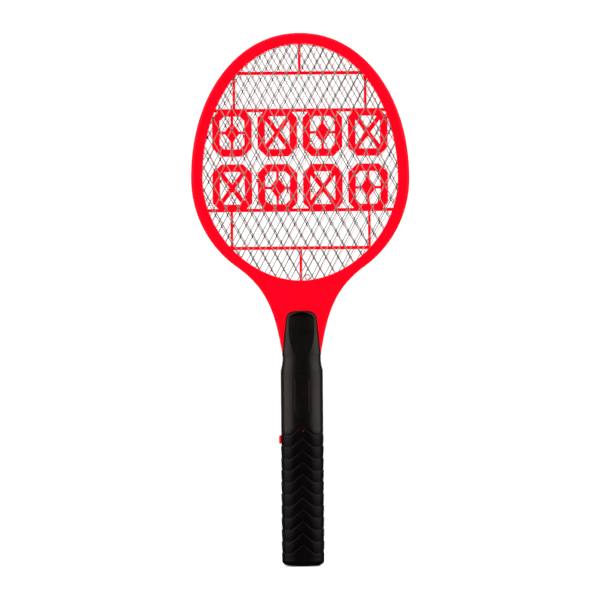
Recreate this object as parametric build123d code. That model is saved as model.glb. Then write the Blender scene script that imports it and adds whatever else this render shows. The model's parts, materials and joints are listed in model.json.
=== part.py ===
from build123d import *
import math
import os

# Electric fly swatter, standing on the butt of its handle: Z runs up the handle to the head, the front faces -Y,
# and the origin is the middle of the butt. Millimetres throughout. The two halves of every case meet at Y = 0.

# ---- Driving dimensions -------------------------------------------------------------------------------------

TOTAL_LENGTH = 450.0

# Head. Its outline and its opening are eggs about one centre: a squarish oval above, an ellipse below.
HEAD_CENTRE_Z = 327.3
HEAD_HALF_WIDTH = 92.1
OPENING_HALF_WIDTH = 83.1
OPENING_UP = 113.5
OPENING_DOWN = 86.2
HEAD_POWER = 2.1
OPENING_POWER = 2.05
FRAME_HALF_DEPTH = 9.5
FRAME_EDGE_RADIUS = 2.2
LIP_DEPTH = 2.2
REBATE = 4.0
NECK_START_Z = 252.3
NECK_FOOT_HALF_WIDTH = 16.4
NECK_FOOT_HALF_DEPTH = 7.0
NECK_FULL_DEPTH_Z = 224.0

# Tang: the part of the frames that is held inside the handle.
TANG_HALF_WIDTH = 10.8
TANG_HALF_DEPTH = 6.6
TANG_FOOT_Z = 150.0
LEAD_CHANNEL_X = 6.5
LEAD_CHANNEL_WIDTH = 4.2
LEAD_CHANNEL_HALF_DEPTH = 3.0

# Expanded metal meshes: one diamond is MESH_PITCH_X wide and MESH_PITCH_Z high.
MESH_THICKNESS = 0.6
MESH_PITCH_X = 10.3
MESH_PITCH_Z = 19.0
MESH_BOND_HALF_WIDTH = 0.8
MESH_BOND_HALF_HEIGHT = 1.0
MESH_TIP_GAP = 1.5
MESH_BORDER = 2.2
MESH_TAB_WIDTH = 5.0
MESH_TAB_FOOT_Z = 230.0
FIT_GAP = 0.2

# Brick grille between the front mesh and the centre mesh.
GRILLE_BAR = 2.8
GRILLE_UPRIGHT = 2.3
GRILLE_THICKNESS = 1.6
COURSES_Z = (416.1, 384.7, 300.5, 268.5)
TILE_ROW_HALF_WIDTH = 74.0
TILE_GAP = 4.7
TILES_PER_ROW = 4
TILE_HEIGHT = 40.3
TILE_STROKE = 6.4
TILE_CHAMFER = 7.5

# Handle. Every section is the squarish oval |x/a|^p + |y/b|^p = 1, with a larger power where it is boxier.
HANDLE_HALF_WIDTH = 18.0
HANDLE_HALF_DEPTH = 14.0
HANDLE_POWER = 2.6
SHOULDER_HALF_WIDTH = 16.8
SHOULDER_POWER = 3.4
TONGUE_HALF_WIDTH = 14.0
SHOULDER_START_Z = 165.0
SHOULDER_END_Z = 180.0
TONGUE_TOP_Z = 215.8
TONGUE_CORNER_Z = 208.0
TONGUE_CORNER_HALF_WIDTH = 13.35
WALL = 2.0
FLOOR = 2.5
BUTT_RADIUS = 3.5
NECK_CLEARANCE = 0.3

# Thumb scoop on the tongue, the shallow oblong recess below it, and the chevron grip.
SCOOP_FOOT_Z = 170.5
SCOOP_HEEL_Z = 184.0
SCOOP_TOP_Z = 212.0
SCOOP_HALF_WIDTH = 10.7
SCOOP_DEPTH = 1.8
OBLONG_CENTRE_Z = 144.8
OBLONG_LENGTH = 37.5
OBLONG_WIDTH = 13.0
OBLONG_DEPTH = 0.5
CHEVRON_COUNT = 11
CHEVRON_TOP_Z = 117.0
CHEVRON_PITCH = 10.0
CHEVRON_DROP = 7.6
CHEVRON_REACH = 8.5
CHEVRON_BAND = 3.6
CHEVRON_HEIGHT = 0.7

# Battery bay, door and screws.
DOOR_CHEVRON = 4
DOOR_GAP = 0.25
DOOR_FOOT_Z = 0.4
CELL_RADIUS = 7.1
CELL_X = 7.25
CELL_BODY = 49.0
CELL_NUB_RADIUS = 2.75
CELL_NUB = 1.2
BAY_FOOT_Z = 5.0
CONTACT = 0.4
SPRING_GAP = 3.0
SPRING_WIRE = 0.35
SPRING_RADIUS = 3.2
SPRING_TURNS = 3
BULKHEAD_Z = BAY_FOOT_Z + SPRING_GAP + CELL_BODY + CELL_NUB + CONTACT
BULKHEAD = 2.0
SCREW_RADIUS = 1.3
SCREW_HEAD_RADIUS = 2.7
SCREW_HEAD = 1.8
BOSS_RADIUS = 3.3
NECK_SCREW_Z = 160.0
GRIP_SCREW_X = 10.0
GRIP_SCREW_Z = 77.0

# Electronics.
BOARD_HALF_WIDTH = 12.0
BOARD_FOOT_Z = 84.0
BOARD_TOP_Z = 141.5
BOARD_FRONT_Y = 3.0
BOARD_THICKNESS = 1.6
POST_RADIUS = 1.8
LED_Z = 113.0
LED_RADIUS = 1.5
LED_PROUD = CHEVRON_HEIGHT
BUTTON_Z = 106.9
BUTTON_HALF_HEIGHT = 3.5
BUTTON_HALF_DEPTH = 2.4
BUTTON_FACE_X = -19.6
BUTTON_TRAVEL = 1.4
BUTTON_GAP = 0.2
SWITCH_FACE_X = -12.0
PLUNGER_RADIUS = 1.2
PLUNGER_TIP_X = -13.6
CORE_CENTRE_Z = 131.0
LEAD_RADIUS = 0.65
LEAD_BEND = 2.5
TAIL_Y = 8.0

FAR = 500.0


# ---- Helpers ------------------------------------------------------------------------------------------------

def across(sketch):
    """Extrudes a sketch, drawn with y and z, past both sides."""
    return extrude(Plane.YZ.offset(-FAR) * sketch, amount=2 * FAR)


def slab(sketch, front_y, rear_y):
    """Extrudes a sketch, drawn with x and z, so that it fills front_y to rear_y."""
    return extrude(Plane.XZ.offset(-rear_y) * sketch, amount=rear_y - front_y)


def block(x, y, z):
    """A box between the pairs x, y and z."""
    size = (x[1] - x[0], y[1] - y[0], z[1] - z[0])
    middle = ((x[0] + x[1]) / 2, (y[0] + y[1]) / 2, (z[0] + z[1]) / 2)
    return Pos(*middle) * Box(*size)


def rod_z(x, y, radius, z_from, z_to):
    return Pos(x, y, (z_from + z_to) / 2) * Cylinder(radius, z_to - z_from)


def rod_y(x, z, radius, y_from, y_to):
    return Pos(x, (y_from + y_to) / 2, z) * Rot(90, 0, 0) * Cylinder(radius, y_to - y_from)


def rod_x(y, z, radius, x_from, x_to):
    return Pos((x_from + x_to) / 2, y, z) * Rot(0, 90, 0) * Cylinder(radius, x_to - x_from)


def tube(radius, bend, *points):
    """A round rod along straight runs joined by arcs."""
    path = FilletPolyline(*points, radius=bend)
    return sweep(Plane(origin=path @ 0, z_dir=path % 0) * Circle(radius), path=path)


def save(name, shape):
    solids = shape.solids()
    export_step(solids[0] if len(solids) == 1 else Compound(children=list(solids)), f"parts/{name}.step")


# ---- Head outlines ------------------------------------------------------------------------------------------

def egg_up_half_width(height, half_width, up, power):
    """Half the width of an egg's upper half at a height above its centre."""
    return half_width * max(0.0, 1 - (height / up) ** power) ** (1 / power)


def egg(half_width, up, down, power, samples=9):
    """An egg-shaped face about the head's centre."""
    angles = [math.pi / 2 * i / samples for i in range(samples + 1)]
    side = [
        (half_width * math.cos(a) ** (2 / power), HEAD_CENTRE_Z + up * math.sin(a) ** (2 / power))
        for a in angles[:-1]
    ]
    top = [(0.0, HEAD_CENTRE_Z + up)]
    points = side + top + [(-x, z) for x, z in reversed(side)]
    upper = Spline(*points, tangents=[(0, 1), (0, -1)])
    lower = EllipticalCenterArc((0, HEAD_CENTRE_Z), half_width, down, start_angle=180, arc_size=180)
    return make_face([upper, lower])


def inside_egg(x, z, half_width, up, down, power):
    height = z - HEAD_CENTRE_Z
    if height > 0:
        return abs(x) < egg_up_half_width(min(height, up), half_width, up, power)
    return (x / half_width) ** 2 + (height / down) ** 2 < 1


def opening_grown(by):
    """The size of the opening's egg, grown all round."""
    return (OPENING_HALF_WIDTH + by, OPENING_UP + by, OPENING_DOWN + by, OPENING_POWER)


def neck_outline():
    """The throat: from a chord of the head's circle down to the top of the handle, with hollow sides."""
    drop = HEAD_CENTRE_Z - NECK_START_Z
    start_x = math.sqrt(HEAD_HALF_WIDTH**2 - drop**2)
    along = Vector(-drop, -start_x).normalized()
    start = Vector(start_x, NECK_START_Z)
    end = Vector(NECK_FOOT_HALF_WIDTH, SHOULDER_END_Z)
    first = start + along * 35.0
    second = end + Vector(0.19, 1.0).normalized() * 27.0
    right = Bezier(*[(p.X, p.Y) for p in (start, first, second, end)])
    left = mirror(right, Plane.YZ)
    return make_face([
        right,
        left,
        Line((end.X, end.Y), (-end.X, end.Y)),
        Line((-start.X, start.Y), (-start.X, HEAD_CENTRE_Z)),
        Line((-start.X, HEAD_CENTRE_Z), (start.X, HEAD_CENTRE_Z)),
        Line((start.X, HEAD_CENTRE_Z), (start.X, start.Y)),
    ])


# ---- Frames -------------------------------------------------------------------------------------------------

def is_face_edge(edge, side):
    """Whether an edge runs round the outside of a frame half's face."""
    middle = edge.center()
    return side * middle.Y > NECK_FOOT_HALF_DEPTH - 0.1 and not (abs(middle.X) < 1 and middle.Z < HEAD_CENTRE_Z)


def neck_pocket():
    """The hollow in each frame half for the mesh tabs and the leads."""
    return make_face(Polyline((-9, 184), (9, 184), (20, 240), (-20, 240), (-9, 184)))


def neck_side(inset):
    """The neck seen from the side, drawn with y and z, or a smaller one inside it: it thickens up to the head."""
    foot = NECK_FOOT_HALF_DEPTH - inset
    full = FRAME_HALF_DEPTH - inset
    rear = [(foot, SHOULDER_END_Z - 1), (foot, SHOULDER_END_Z), (full, NECK_FULL_DEPTH_Z), (full, HEAD_CENTRE_Z)]
    front = [(-y, z) for y, z in reversed(rear)]
    return make_face(Polyline(*rear, *front, rear[0]))


def frame_half(side):
    """One half of the red frame. side is -1 for the front and 1 for the rear."""

    def layer(sketch, near, far):
        depths = sorted((side * near, side * far))
        return slab(sketch, *depths)

    outer = egg(HEAD_HALF_WIDTH, TOTAL_LENGTH - HEAD_CENTRE_Z, HEAD_HALF_WIDTH, HEAD_POWER) + neck_outline()
    half = layer(outer, 0, FRAME_HALF_DEPTH)
    lower = block((-FAR, FAR), (-FAR, FAR), (0, NECK_FULL_DEPTH_Z))
    half -= lower - across(neck_side(0))
    half = fillet(half.edges().filter_by(lambda edge: is_face_edge(edge, side)), FRAME_EDGE_RADIUS)
    half -= layer(egg(*opening_grown(0)), 0, FRAME_HALF_DEPTH + 1)
    half -= layer(egg(*opening_grown(REBATE)), -1, FRAME_HALF_DEPTH - LIP_DEPTH)
    tang = layer(
        Pos(0, (TANG_FOOT_Z + SHOULDER_END_Z) / 2) * Rectangle(2 * TANG_HALF_WIDTH, SHOULDER_END_Z - TANG_FOOT_Z),
        0,
        TANG_HALF_DEPTH,
    )
    half += tang
    half -= layer(neck_pocket(), -1, FRAME_HALF_DEPTH) & across(neck_side(2.0))
    for x in (-LEAD_CHANNEL_X, LEAD_CHANNEL_X):
        channel = Pos(x, (TANG_FOOT_Z + 190) / 2) * Rectangle(LEAD_CHANNEL_WIDTH, 190 - TANG_FOOT_Z + 2)
        half -= layer(channel, -1, LEAD_CHANNEL_HALF_DEPTH)
    half -= rod_y(0, NECK_SCREW_Z, SCREW_RADIUS + 0.2, -20, 20)
    return half


# ---- Meshes -------------------------------------------------------------------------------------------------

def diamond():
    """One hole of the expanded metal, about its centre: a diamond whose side tips are cut by the bonds."""
    side_x = MESH_PITCH_X / 2 - MESH_BOND_HALF_WIDTH
    tip_z = MESH_PITCH_Z / 2 - MESH_TIP_GAP
    bond_z = MESH_BOND_HALF_HEIGHT
    return [(-side_x, -bond_z), (-side_x, bond_z), (0, tip_z), (side_x, bond_z), (side_x, -bond_z), (0, -tip_z)]


def mesh_holes(shift_x, shift_z):
    """The wires of every diamond, and of every part of one, inside the mesh's solid border."""
    size = opening_grown(REBATE - FIT_GAP - MESH_BORDER)
    border = egg(*size)
    columns = math.ceil(HEAD_HALF_WIDTH / MESH_PITCH_X) + 1
    rows = math.ceil(TOTAL_LENGTH / 3 / MESH_PITCH_Z) + 1
    holes = []
    for half_row in range(-2 * rows, 2 * rows + 1):
        for column in range(-columns, columns + 1):
            centre_x = (column + half_row % 2 / 2) * MESH_PITCH_X + shift_x
            centre_z = HEAD_CENTRE_Z + half_row * MESH_PITCH_Z / 2 + shift_z
            corners = [(centre_x + x, centre_z + z) for x, z in diamond()]
            inside = [inside_egg(x, z, *size) for x, z in corners]
            if not any(inside):
                continue
            hole = make_face(Polyline(*corners, corners[0]))
            if all(inside):
                holes.append(hole.face().outer_wire())
                continue
            clipped = hole & border
            holes += [face.outer_wire() for face in clipped.faces() if face.area > 2.0]
    return holes


def mesh_sheet(middle_y, tab_x, shift_x, shift_z):
    """A sheet of expanded metal with a solid border and a tab for its lead."""
    sheet = egg(*opening_grown(REBATE - FIT_GAP))
    top = HEAD_CENTRE_Z - OPENING_DOWN - 2
    sheet += Pos(tab_x, (top + MESH_TAB_FOOT_Z) / 2) * Rectangle(MESH_TAB_WIDTH, top - MESH_TAB_FOOT_Z)
    face = Face(sheet.face().outer_wire(), mesh_holes(shift_x, shift_z))
    return slab(face, middle_y - MESH_THICKNESS / 2, middle_y + MESH_THICKNESS / 2)


# ---- Brick grille -------------------------------------------------------------------------------------------

def bar(x_from, x_to, z_from, z_to):
    return Pos((x_from + x_to) / 2, (z_from + z_to) / 2) * Rectangle(x_to - x_from, z_to - z_from)


def tile(width, crossed):
    """A plain chamfered tile frame about its centre, with crossed braces or a diamond in its window."""
    outer = chamfer(Rectangle(width, TILE_HEIGHT).vertices(), TILE_CHAMFER)
    window_width = width - 2 * TILE_STROKE
    window_height = TILE_HEIGHT - 2 * TILE_STROKE
    window = chamfer(Rectangle(window_width, window_height).vertices(), TILE_CHAMFER / 2)
    frame = outer - window
    if crossed:
        slope = math.degrees(math.atan2(window_height, window_width))
        length = math.hypot(window_width, window_height)
        braces = [Rot(0, 0, side * slope) * Rectangle(length, TILE_STROKE * 0.6) for side in (-1, 1)]
        return frame + braces
    half_x = window_width * 0.33
    half_z = window_height * 0.33
    middle = make_face(Polyline((-half_x, 0), (0, half_z), (half_x, 0), (0, -half_z), (-half_x, 0)))
    return frame + middle + Rectangle(window_width + 2, GRILLE_UPRIGHT) + Rectangle(GRILLE_UPRIGHT, window_height + 2)


def brick_grille():
    """The ring that spaces the front mesh from the centre mesh, with the brick courses and the two rows of tiles."""
    rim = egg(*opening_grown(REBATE - FIT_GAP))
    opening = egg(*opening_grown(0))
    front_y = -FRAME_HALF_DEPTH + LIP_DEPTH + MESH_THICKNESS
    ring = slab(rim - opening, front_y, -MESH_THICKNESS / 2)
    upper, upper_middle, lower_middle, lower = COURSES_Z
    half_bar = GRILLE_BAR / 2
    bars = [bar(-FAR, FAR, z - half_bar, z + half_bar) for z in COURSES_Z]
    half_upright = GRILLE_UPRIGHT / 2
    uprights = [(0, upper, FAR), (0, 0, lower)]
    for side in (-1, 1):
        uprights += [(side * 55.4, upper_middle, upper), (side * 58.0, lower, lower_middle)]
    bars += [bar(x - half_upright, x + half_upright, low, high) for x, low, high in uprights]
    tile_width = (2 * TILE_ROW_HALF_WIDTH - (TILES_PER_ROW - 1) * TILE_GAP) / TILES_PER_ROW
    rows = (
        (upper_middle + half_bar - TILE_HEIGHT / 2, False),
        (lower_middle - half_bar + TILE_HEIGHT / 2, True),
    )
    for centre_z, first_crossed in rows:
        for i in range(TILES_PER_ROW):
            centre_x = (i - (TILES_PER_ROW - 1) / 2) * (tile_width + TILE_GAP)
            crossed = first_crossed == (i % 2 == 0)
            bars.append(Pos(centre_x, centre_z) * tile(tile_width, crossed))
    pattern = (Sketch() + bars) & egg(*opening_grown(1.0))
    return ring + slab(pattern, front_y, front_y + GRILLE_THICKNESS)


def rear_spacer():
    rim = egg(*opening_grown(REBATE - FIT_GAP)) - egg(*opening_grown(0))
    return slab(rim, MESH_THICKNESS / 2, FRAME_HALF_DEPTH - LIP_DEPTH - MESH_THICKNESS)


# ---- Handle -------------------------------------------------------------------------------------------------

def section(half_width, half_depth, power, samples=8):
    """The handle's squarish oval, drawn with x and y."""
    quarter = [math.pi / 2 * i / samples for i in range(samples)]
    share = 2 / power
    points = []
    for turn in range(4):
        for angle in quarter:
            c = math.cos(angle + turn * math.pi / 2)
            s = math.sin(angle + turn * math.pi / 2)
            points.append((
                half_width * math.copysign(abs(c) ** share if abs(c) > 1e-9 else 0, c),
                half_depth * math.copysign(abs(s) ** share if abs(s) > 1e-9 else 0, s),
            ))
    return make_face(Spline(*points, periodic=True))


def tongue_outline():
    """The handle's front outline above the shoulder: the tongue that laps over the neck."""
    side = (HANDLE_HALF_WIDTH + 1, SHOULDER_START_Z - 20)
    shoulder = (SHOULDER_HALF_WIDTH, SHOULDER_END_Z + 0.5)
    corner = (TONGUE_CORNER_HALF_WIDTH, TONGUE_CORNER_Z)
    waist = ((shoulder[0] + corner[0]) / 2 - 0.25, (shoulder[1] + corner[1]) / 2)
    crown = (TONGUE_CORNER_HALF_WIDTH - 4.0, TONGUE_TOP_Z - 1.2)
    edge = ThreePointArc(shoulder, waist, corner)
    right = [Line(side, shoulder), edge, TangentArc(corner, crown, tangent=edge % 1)]
    left = [mirror(edge, Plane.YZ) for edge in right]
    top = ThreePointArc(crown, (0, TONGUE_TOP_Z), (-crown[0], crown[1]))
    return make_face([*right, *left, top, Line(side, (-side[0], side[1]))])


def handle_blank(inset, foot_z=0.0):
    """The handle's outer form, or its hollow when inset is the wall."""
    half_depth = HANDLE_HALF_DEPTH - inset
    grip = section(HANDLE_HALF_WIDTH - inset, half_depth, HANDLE_POWER)
    shoulder = section(SHOULDER_HALF_WIDTH - inset, half_depth, SHOULDER_POWER)
    tip = section(TONGUE_HALF_WIDTH - inset, half_depth, SHOULDER_POWER)
    blank = extrude(Pos(0, 0, foot_z) * grip, amount=SHOULDER_START_Z - foot_z)
    blank += loft([Pos(0, 0, SHOULDER_START_Z) * grip, Pos(0, 0, SHOULDER_END_Z) * shoulder])
    return blank + loft([Pos(0, 0, SHOULDER_END_Z) * shoulder, Pos(0, 0, TONGUE_TOP_Z + 5) * tip])


def chevron_line(apex_z):
    """Corner points of a chevron from left to right: level at the sides, rising to an apex in the middle."""
    low = apex_z - CHEVRON_DROP
    return [(-25, low), (-CHEVRON_REACH, low), (0, apex_z), (CHEVRON_REACH, low), (25, low)]


def chevron_band(apex_z):
    upper = chevron_line(apex_z)
    lower = [(x, z - CHEVRON_BAND) for x, z in reversed(upper)]
    return make_face(Polyline(*upper, *lower, upper[0]))


def region_below(apex_z, foot_z=-10):
    """Everything under a chevron line, drawn with x and z."""
    line = chevron_line(apex_z)
    return make_face(Polyline(*line, (25, foot_z), (-25, foot_z), line[0]))


def scoop_cut():
    """What the thumb scoop takes off the front: a floor that dips from the foot to the heel, then runs level."""
    surface = -HANDLE_HALF_DEPTH
    floor = surface + SCOOP_DEPTH
    profile = make_face(Polyline(
        (surface - 2, SCOOP_FOOT_Z),
        (surface, SCOOP_FOOT_Z),
        (floor, SCOOP_HEEL_Z),
        (floor, SCOOP_TOP_Z),
        (surface - 2, SCOOP_TOP_Z),
        (surface - 2, SCOOP_FOOT_Z),
    ))
    return extrude(Plane.YZ.offset(-SCOOP_HALF_WIDTH) * profile, amount=2 * SCOOP_HALF_WIDTH)


def handle_form():
    """The whole handle's outside: a solid with the butt rounded, the tongues cut out and the grip raised."""
    form = handle_blank(0)
    form = fillet(form.edges().group_by(Axis.Z)[0], BUTT_RADIUS)
    top_part = slab(tongue_outline(), -FAR, FAR)
    form = (form & block((-50, 50), (-50, 50), (-1, SHOULDER_END_Z - 20))) + (form & top_part)
    proud = handle_blank(-CHEVRON_HEIGHT)
    bands = [chevron_band(CHEVRON_TOP_Z - i * CHEVRON_PITCH) for i in range(CHEVRON_COUNT)]
    grip = slab(Sketch() + bands, -FAR, FAR) & proud
    return form + grip


def neck_space():
    """Room for the red neck and its tang inside the handle."""
    return across(neck_side(-NECK_CLEARANCE)) & block((-40, 40), (-20, 20), (SHOULDER_END_Z, HEAD_CENTRE_Z))


def board_posts():
    return [(side * 9.8, z) for side in (-1, 1) for z in (BOARD_FOOT_Z + 3.5, BOARD_TOP_Z - 3.5)]


def button_window():
    gap = BUTTON_GAP
    depth = BUTTON_HALF_DEPTH + gap
    height = BUTTON_HALF_HEIGHT + gap
    return block((-30, -14.5), (-depth, depth), (BUTTON_Z - height, BUTTON_Z + height))


def front_shell(form):
    """The front half of the handle: its cradle holds the cells and its posts hold the board."""
    hollow = handle_blank(WALL, FLOOR)
    shell = (form - hollow - neck_space()) & block((-50, 50), (-50, 0), (-1, FAR))
    inside = hollow & block((-50, 50), (-50, 0), (-1, FAR))
    cells = [rod_z(x, 0, CELL_RADIUS + FIT_GAP, 0, BULKHEAD_Z) for x in (-CELL_X, CELL_X)]
    ribs = [block((-20, 20), (-20, -2.8), (z, z + 2)) for z in (18.0, 44.0)]
    shell += (inside & (Part() + ribs)) - cells
    shell += [block((x - 1, x + 1), (-11, -1), (FLOOR - 0.5, BAY_FOOT_Z - CONTACT)) for x in (-9, 0, 9)]
    across = (BULKHEAD_Z, BULKHEAD_Z + BULKHEAD)
    shell += inside & block((-20, 20), (-20, -2.8), across)
    shell += block((-14.2, 14.2), (-9.5, 5.0), across) + block((-12.0, 12.0), (-9.5, TAIL_Y), across)
    trimmed = form & block((-50, 50), (-50, 0), (-1, FAR))
    shell += rod_y(0, NECK_SCREW_Z, BOSS_RADIUS, -13, -TANG_HALF_DEPTH) & trimmed
    shell += [rod_y(x, GRIP_SCREW_Z, BOSS_RADIUS, -12, 0) & trimmed for x in (-GRIP_SCREW_X, GRIP_SCREW_X)]
    core = handle_blank(1)
    shell += [rod_y(x, z, POST_RADIUS, -12, BOARD_FRONT_Y) & core for x, z in board_posts()]
    shell -= [
        rod_y(x, z, SCREW_RADIUS + 0.05, -11, 1)
        for x, z in ((0, NECK_SCREW_Z), (-GRIP_SCREW_X, GRIP_SCREW_Z), (GRIP_SCREW_X, GRIP_SCREW_Z))
    ]
    shell -= scoop_cut()
    oblong = SlotOverall(OBLONG_LENGTH, OBLONG_WIDTH, rotation=90)
    floor_y = -HANDLE_HALF_DEPTH + OBLONG_DEPTH + 0.6
    shell -= slab(Pos(0, OBLONG_CENTRE_Z) * oblong, -20, floor_y) - handle_blank(OBLONG_DEPTH)
    shell -= rod_y(0, LED_Z, LED_RADIUS + 0.15, -20, -9)
    shell -= button_window()
    for side in (-1, 1):
        hook_path = sorted((side * 15.6, side * 16.7))
        shell -= block(hook_path, (-2.5, -1.1), (-1, 62))
        tongue_path = sorted((side * 14.5, side * 16.7))
        shell -= block(tongue_path, (-2.5, 1), (-1, FLOOR + 0.1))
    return shell


def rear_shell(form):
    """The rear half of the handle above the battery door, with the recessed screw seats."""
    hollow = handle_blank(WALL, FLOOR)
    half = block((-50, 50), (0, 50), (-1, FAR))
    split = slab(region_below(CHEVRON_TOP_Z - DOOR_CHEVRON * CHEVRON_PITCH), -FAR, FAR)
    shell = ((form - hollow - neck_space()) & half) - split
    trimmed = form & half
    shell += rod_y(0, NECK_SCREW_Z, BOSS_RADIUS + 1, TANG_HALF_DEPTH, 13) & trimmed
    shell += [rod_y(x, GRIP_SCREW_Z, BOSS_RADIUS, 0, 13) & trimmed for x in (-GRIP_SCREW_X, GRIP_SCREW_X)]
    back_y = BOARD_FRONT_Y + BOARD_THICKNESS
    core = handle_blank(1)
    shell += [rod_y(x, z, POST_RADIUS, back_y, 12) & core for x, z in board_posts()]
    for x, z, seat_y in screw_seats():
        shell -= rod_y(x, z, SCREW_RADIUS + 0.2, -1, 20)
        shell -= rod_y(x, z, SCREW_HEAD_RADIUS + 0.3, seat_y, 20)
    shell -= button_window()
    return shell


def screw_seats():
    """x, z and the depth of the seat of each screw that joins the two shells."""
    grip_seat_y = 7.6
    return ((0, NECK_SCREW_Z, 11.0), (-GRIP_SCREW_X, GRIP_SCREW_Z, grip_seat_y), (GRIP_SCREW_X, GRIP_SCREW_Z, grip_seat_y))


def battery_door(form):
    """The rear half of the lower handle, which slides off downwards on two hooked tongues."""
    hollow = handle_blank(WALL, FLOOR)
    split_apex = CHEVRON_TOP_Z - DOOR_CHEVRON * CHEVRON_PITCH - DOOR_GAP
    below = slab(region_below(split_apex), -FAR, FAR)
    door = (form - hollow) & block((-50, 50), (DOOR_GAP, 50), (DOOR_FOOT_Z, FAR)) & below
    for side in (-1, 1):
        root = sorted((side * 14.7, side * 16.2))
        tongue = sorted((side * 14.7, side * 15.5))
        hook = sorted((side * 14.7, side * 16.4))
        door += block(root, (0.6, 3.5), (6, 58)) & handle_blank(0.5)
        door += block(tongue, (-2.2, 0.6), (6, 58))
        door += block(hook, (-2.2, -1.4), (6, 58))
    return door


# ---- Power ----------------------------------------------------------------------------------------------------

def cell(x, foot_z, nub_up):
    """One AA cell, with its nub up or down."""
    body_foot = foot_z if nub_up else foot_z + CELL_NUB
    body = rod_z(x, 0, CELL_RADIUS, body_foot, body_foot + CELL_BODY)
    body = fillet(body.edges().filter_by(GeomType.CIRCLE), 0.8)
    nub_foot = body_foot + CELL_BODY if nub_up else foot_z
    return body + rod_z(x, 0, CELL_NUB_RADIUS, nub_foot, nub_foot + CELL_NUB)


def contact_spring(x, foot_z):
    height = SPRING_GAP - 2 * SPRING_WIRE
    path = Helix(pitch=height / SPRING_TURNS, height=height, radius=SPRING_RADIUS)
    start = path @ 0
    profile = Plane(origin=start, z_dir=path % 0) * Circle(SPRING_WIRE)
    coil = sweep(profile, path=path, is_frenet=True)
    return Pos(x, 0, foot_z + SPRING_WIRE) * coil


def upper_contact(side):
    """The plate over one cell, with a tail behind the bulkhead for its lead."""
    x = sorted((side * 3.6, side * 11.0))
    plate = block(x, (-5, TAIL_Y + CONTACT), (BULKHEAD_Z - CONTACT, BULKHEAD_Z))
    tail_x = (side * CELL_X - 2, side * CELL_X + 2)
    return plate + block(tail_x, (TAIL_Y, TAIL_Y + CONTACT), (BULKHEAD_Z - CONTACT, 66))


def lower_contact():
    return block((-12, 12), (-5, 5), (BAY_FOOT_Z - CONTACT, BAY_FOOT_Z))


def screw(x, z, head_y, tip_y):
    """A pan-head screw along Y with a cross recess, its head to the rear."""
    head = rod_y(x, z, SCREW_HEAD_RADIUS, head_y, head_y + SCREW_HEAD)
    head = fillet(head.edges().group_by(Axis.Y)[-1], 0.8)
    cross = [block((x - w, x + w), (head_y + 0.8, head_y + 3), (z - h, z + h)) for w, h in ((0.35, 1.5), (1.5, 0.35))]
    return (head - cross) + rod_y(x, z, SCREW_RADIUS, tip_y, head_y)


# ---- Electronics ----------------------------------------------------------------------------------------------

def circuit_board():
    board = block(
        (-BOARD_HALF_WIDTH, BOARD_HALF_WIDTH),
        (BOARD_FRONT_Y, BOARD_FRONT_Y + BOARD_THICKNESS),
        (BOARD_FOOT_Z, BOARD_TOP_Z),
    )
    return board


def transformer_core():
    """A pair of E cores: three legs joined at the top and the bottom."""
    z = CORE_CENTRE_Z
    core = block((-7, 7), (-4.5, 1.0), (z - 7, z + 7))
    windows = [block(x, (-6, 3), (z - 4.6, z + 4.6)) for x in ((-4.8, -1.8), (1.8, 4.8))]
    return core - windows


def transformer_winding():
    """The winding on its bobbin round the centre leg, with four pins into the board."""
    z = CORE_CENTRE_Z
    coil = block((-4.6, 4.6), (-7.2, 2.6), (z - 4.4, z + 4.4))
    coil = fillet(coil.edges().filter_by(Axis.Z), 1.2)
    coil -= block((-2.0, 2.0), (-4.7, 1.2), (z - 5, z + 5))
    return coil


def switch_housing():
    body = block((SWITCH_FACE_X, -6.5), (-3.0, BOARD_FRONT_Y), (BUTTON_Z - 3, BUTTON_Z + 3))
    return body - rod_x(0, BUTTON_Z, PLUNGER_RADIUS + 0.1, SWITCH_FACE_X - 1, -7.2)


def switch_plunger():
    return rod_x(0, BUTTON_Z, PLUNGER_RADIUS, PLUNGER_TIP_X, -9.0)


def power_button():
    """The red push button: its cap stands out of the side, and its flange keeps it in."""
    depth, height = BUTTON_HALF_DEPTH, BUTTON_HALF_HEIGHT
    cap = block((BUTTON_FACE_X, -15.0), (-depth, depth), (BUTTON_Z - height, BUTTON_Z + height))
    cap = fillet(cap.edges().filter_by(Axis.X), 0.9)
    cap = fillet(cap.edges().group_by(Axis.X)[0], 0.5)
    flange = block((-15.5, -14.6), (-depth - 1, depth + 1), (BUTTON_Z - height - 1.2, BUTTON_Z + height + 1.2))
    return cap + flange + rod_x(0, BUTTON_Z, 1.8, -14.6, PLUNGER_TIP_X)


def indicator_led():
    dome_y = LED_RADIUS - HANDLE_HALF_DEPTH - LED_PROUD
    body = rod_y(0, LED_Z, LED_RADIUS, dome_y, -10.6)
    return body + Pos(0, dome_y, LED_Z) * Sphere(LED_RADIUS) + rod_y(0, LED_Z, 1.9, -11.6, -10.6)


def led_legs():
    return [rod_y(x, LED_Z, 0.25, -10.6, BOARD_FRONT_Y) for x in (-0.9, 0.9)]


def film_capacitor(x, z, width, depth, height):
    """A dipped film capacitor standing on the board."""
    body = block((x - width / 2, x + width / 2), (BOARD_FRONT_Y - depth, BOARD_FRONT_Y), (z - height / 2, z + height / 2))
    return fillet(body.edges(), min(width, depth, height) * 0.3)


def axial_part(x, z, radius, length):
    """A diode or resistor lying along Z on the front of the board, with bent leads."""
    y = BOARD_FRONT_Y - radius - 0.6
    body = rod_z(x, y, radius, z - length / 2, z + length / 2)
    reach = length / 2 + 1.6
    feet = [(x, BOARD_FRONT_Y, z - reach), (x, BOARD_FRONT_Y, z + reach)]
    return body + tube(0.3, 0.6, feet[0], (x, y, z - reach), (x, y, z + reach), feet[1])


def transistor():
    body = block((6.2, 10.8), (-2.6, 2.2), (105, 108.6))
    body = fillet(body.edges().filter_by(Axis.Z).group_by(Axis.Y)[0], 1.6)
    return body


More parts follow.
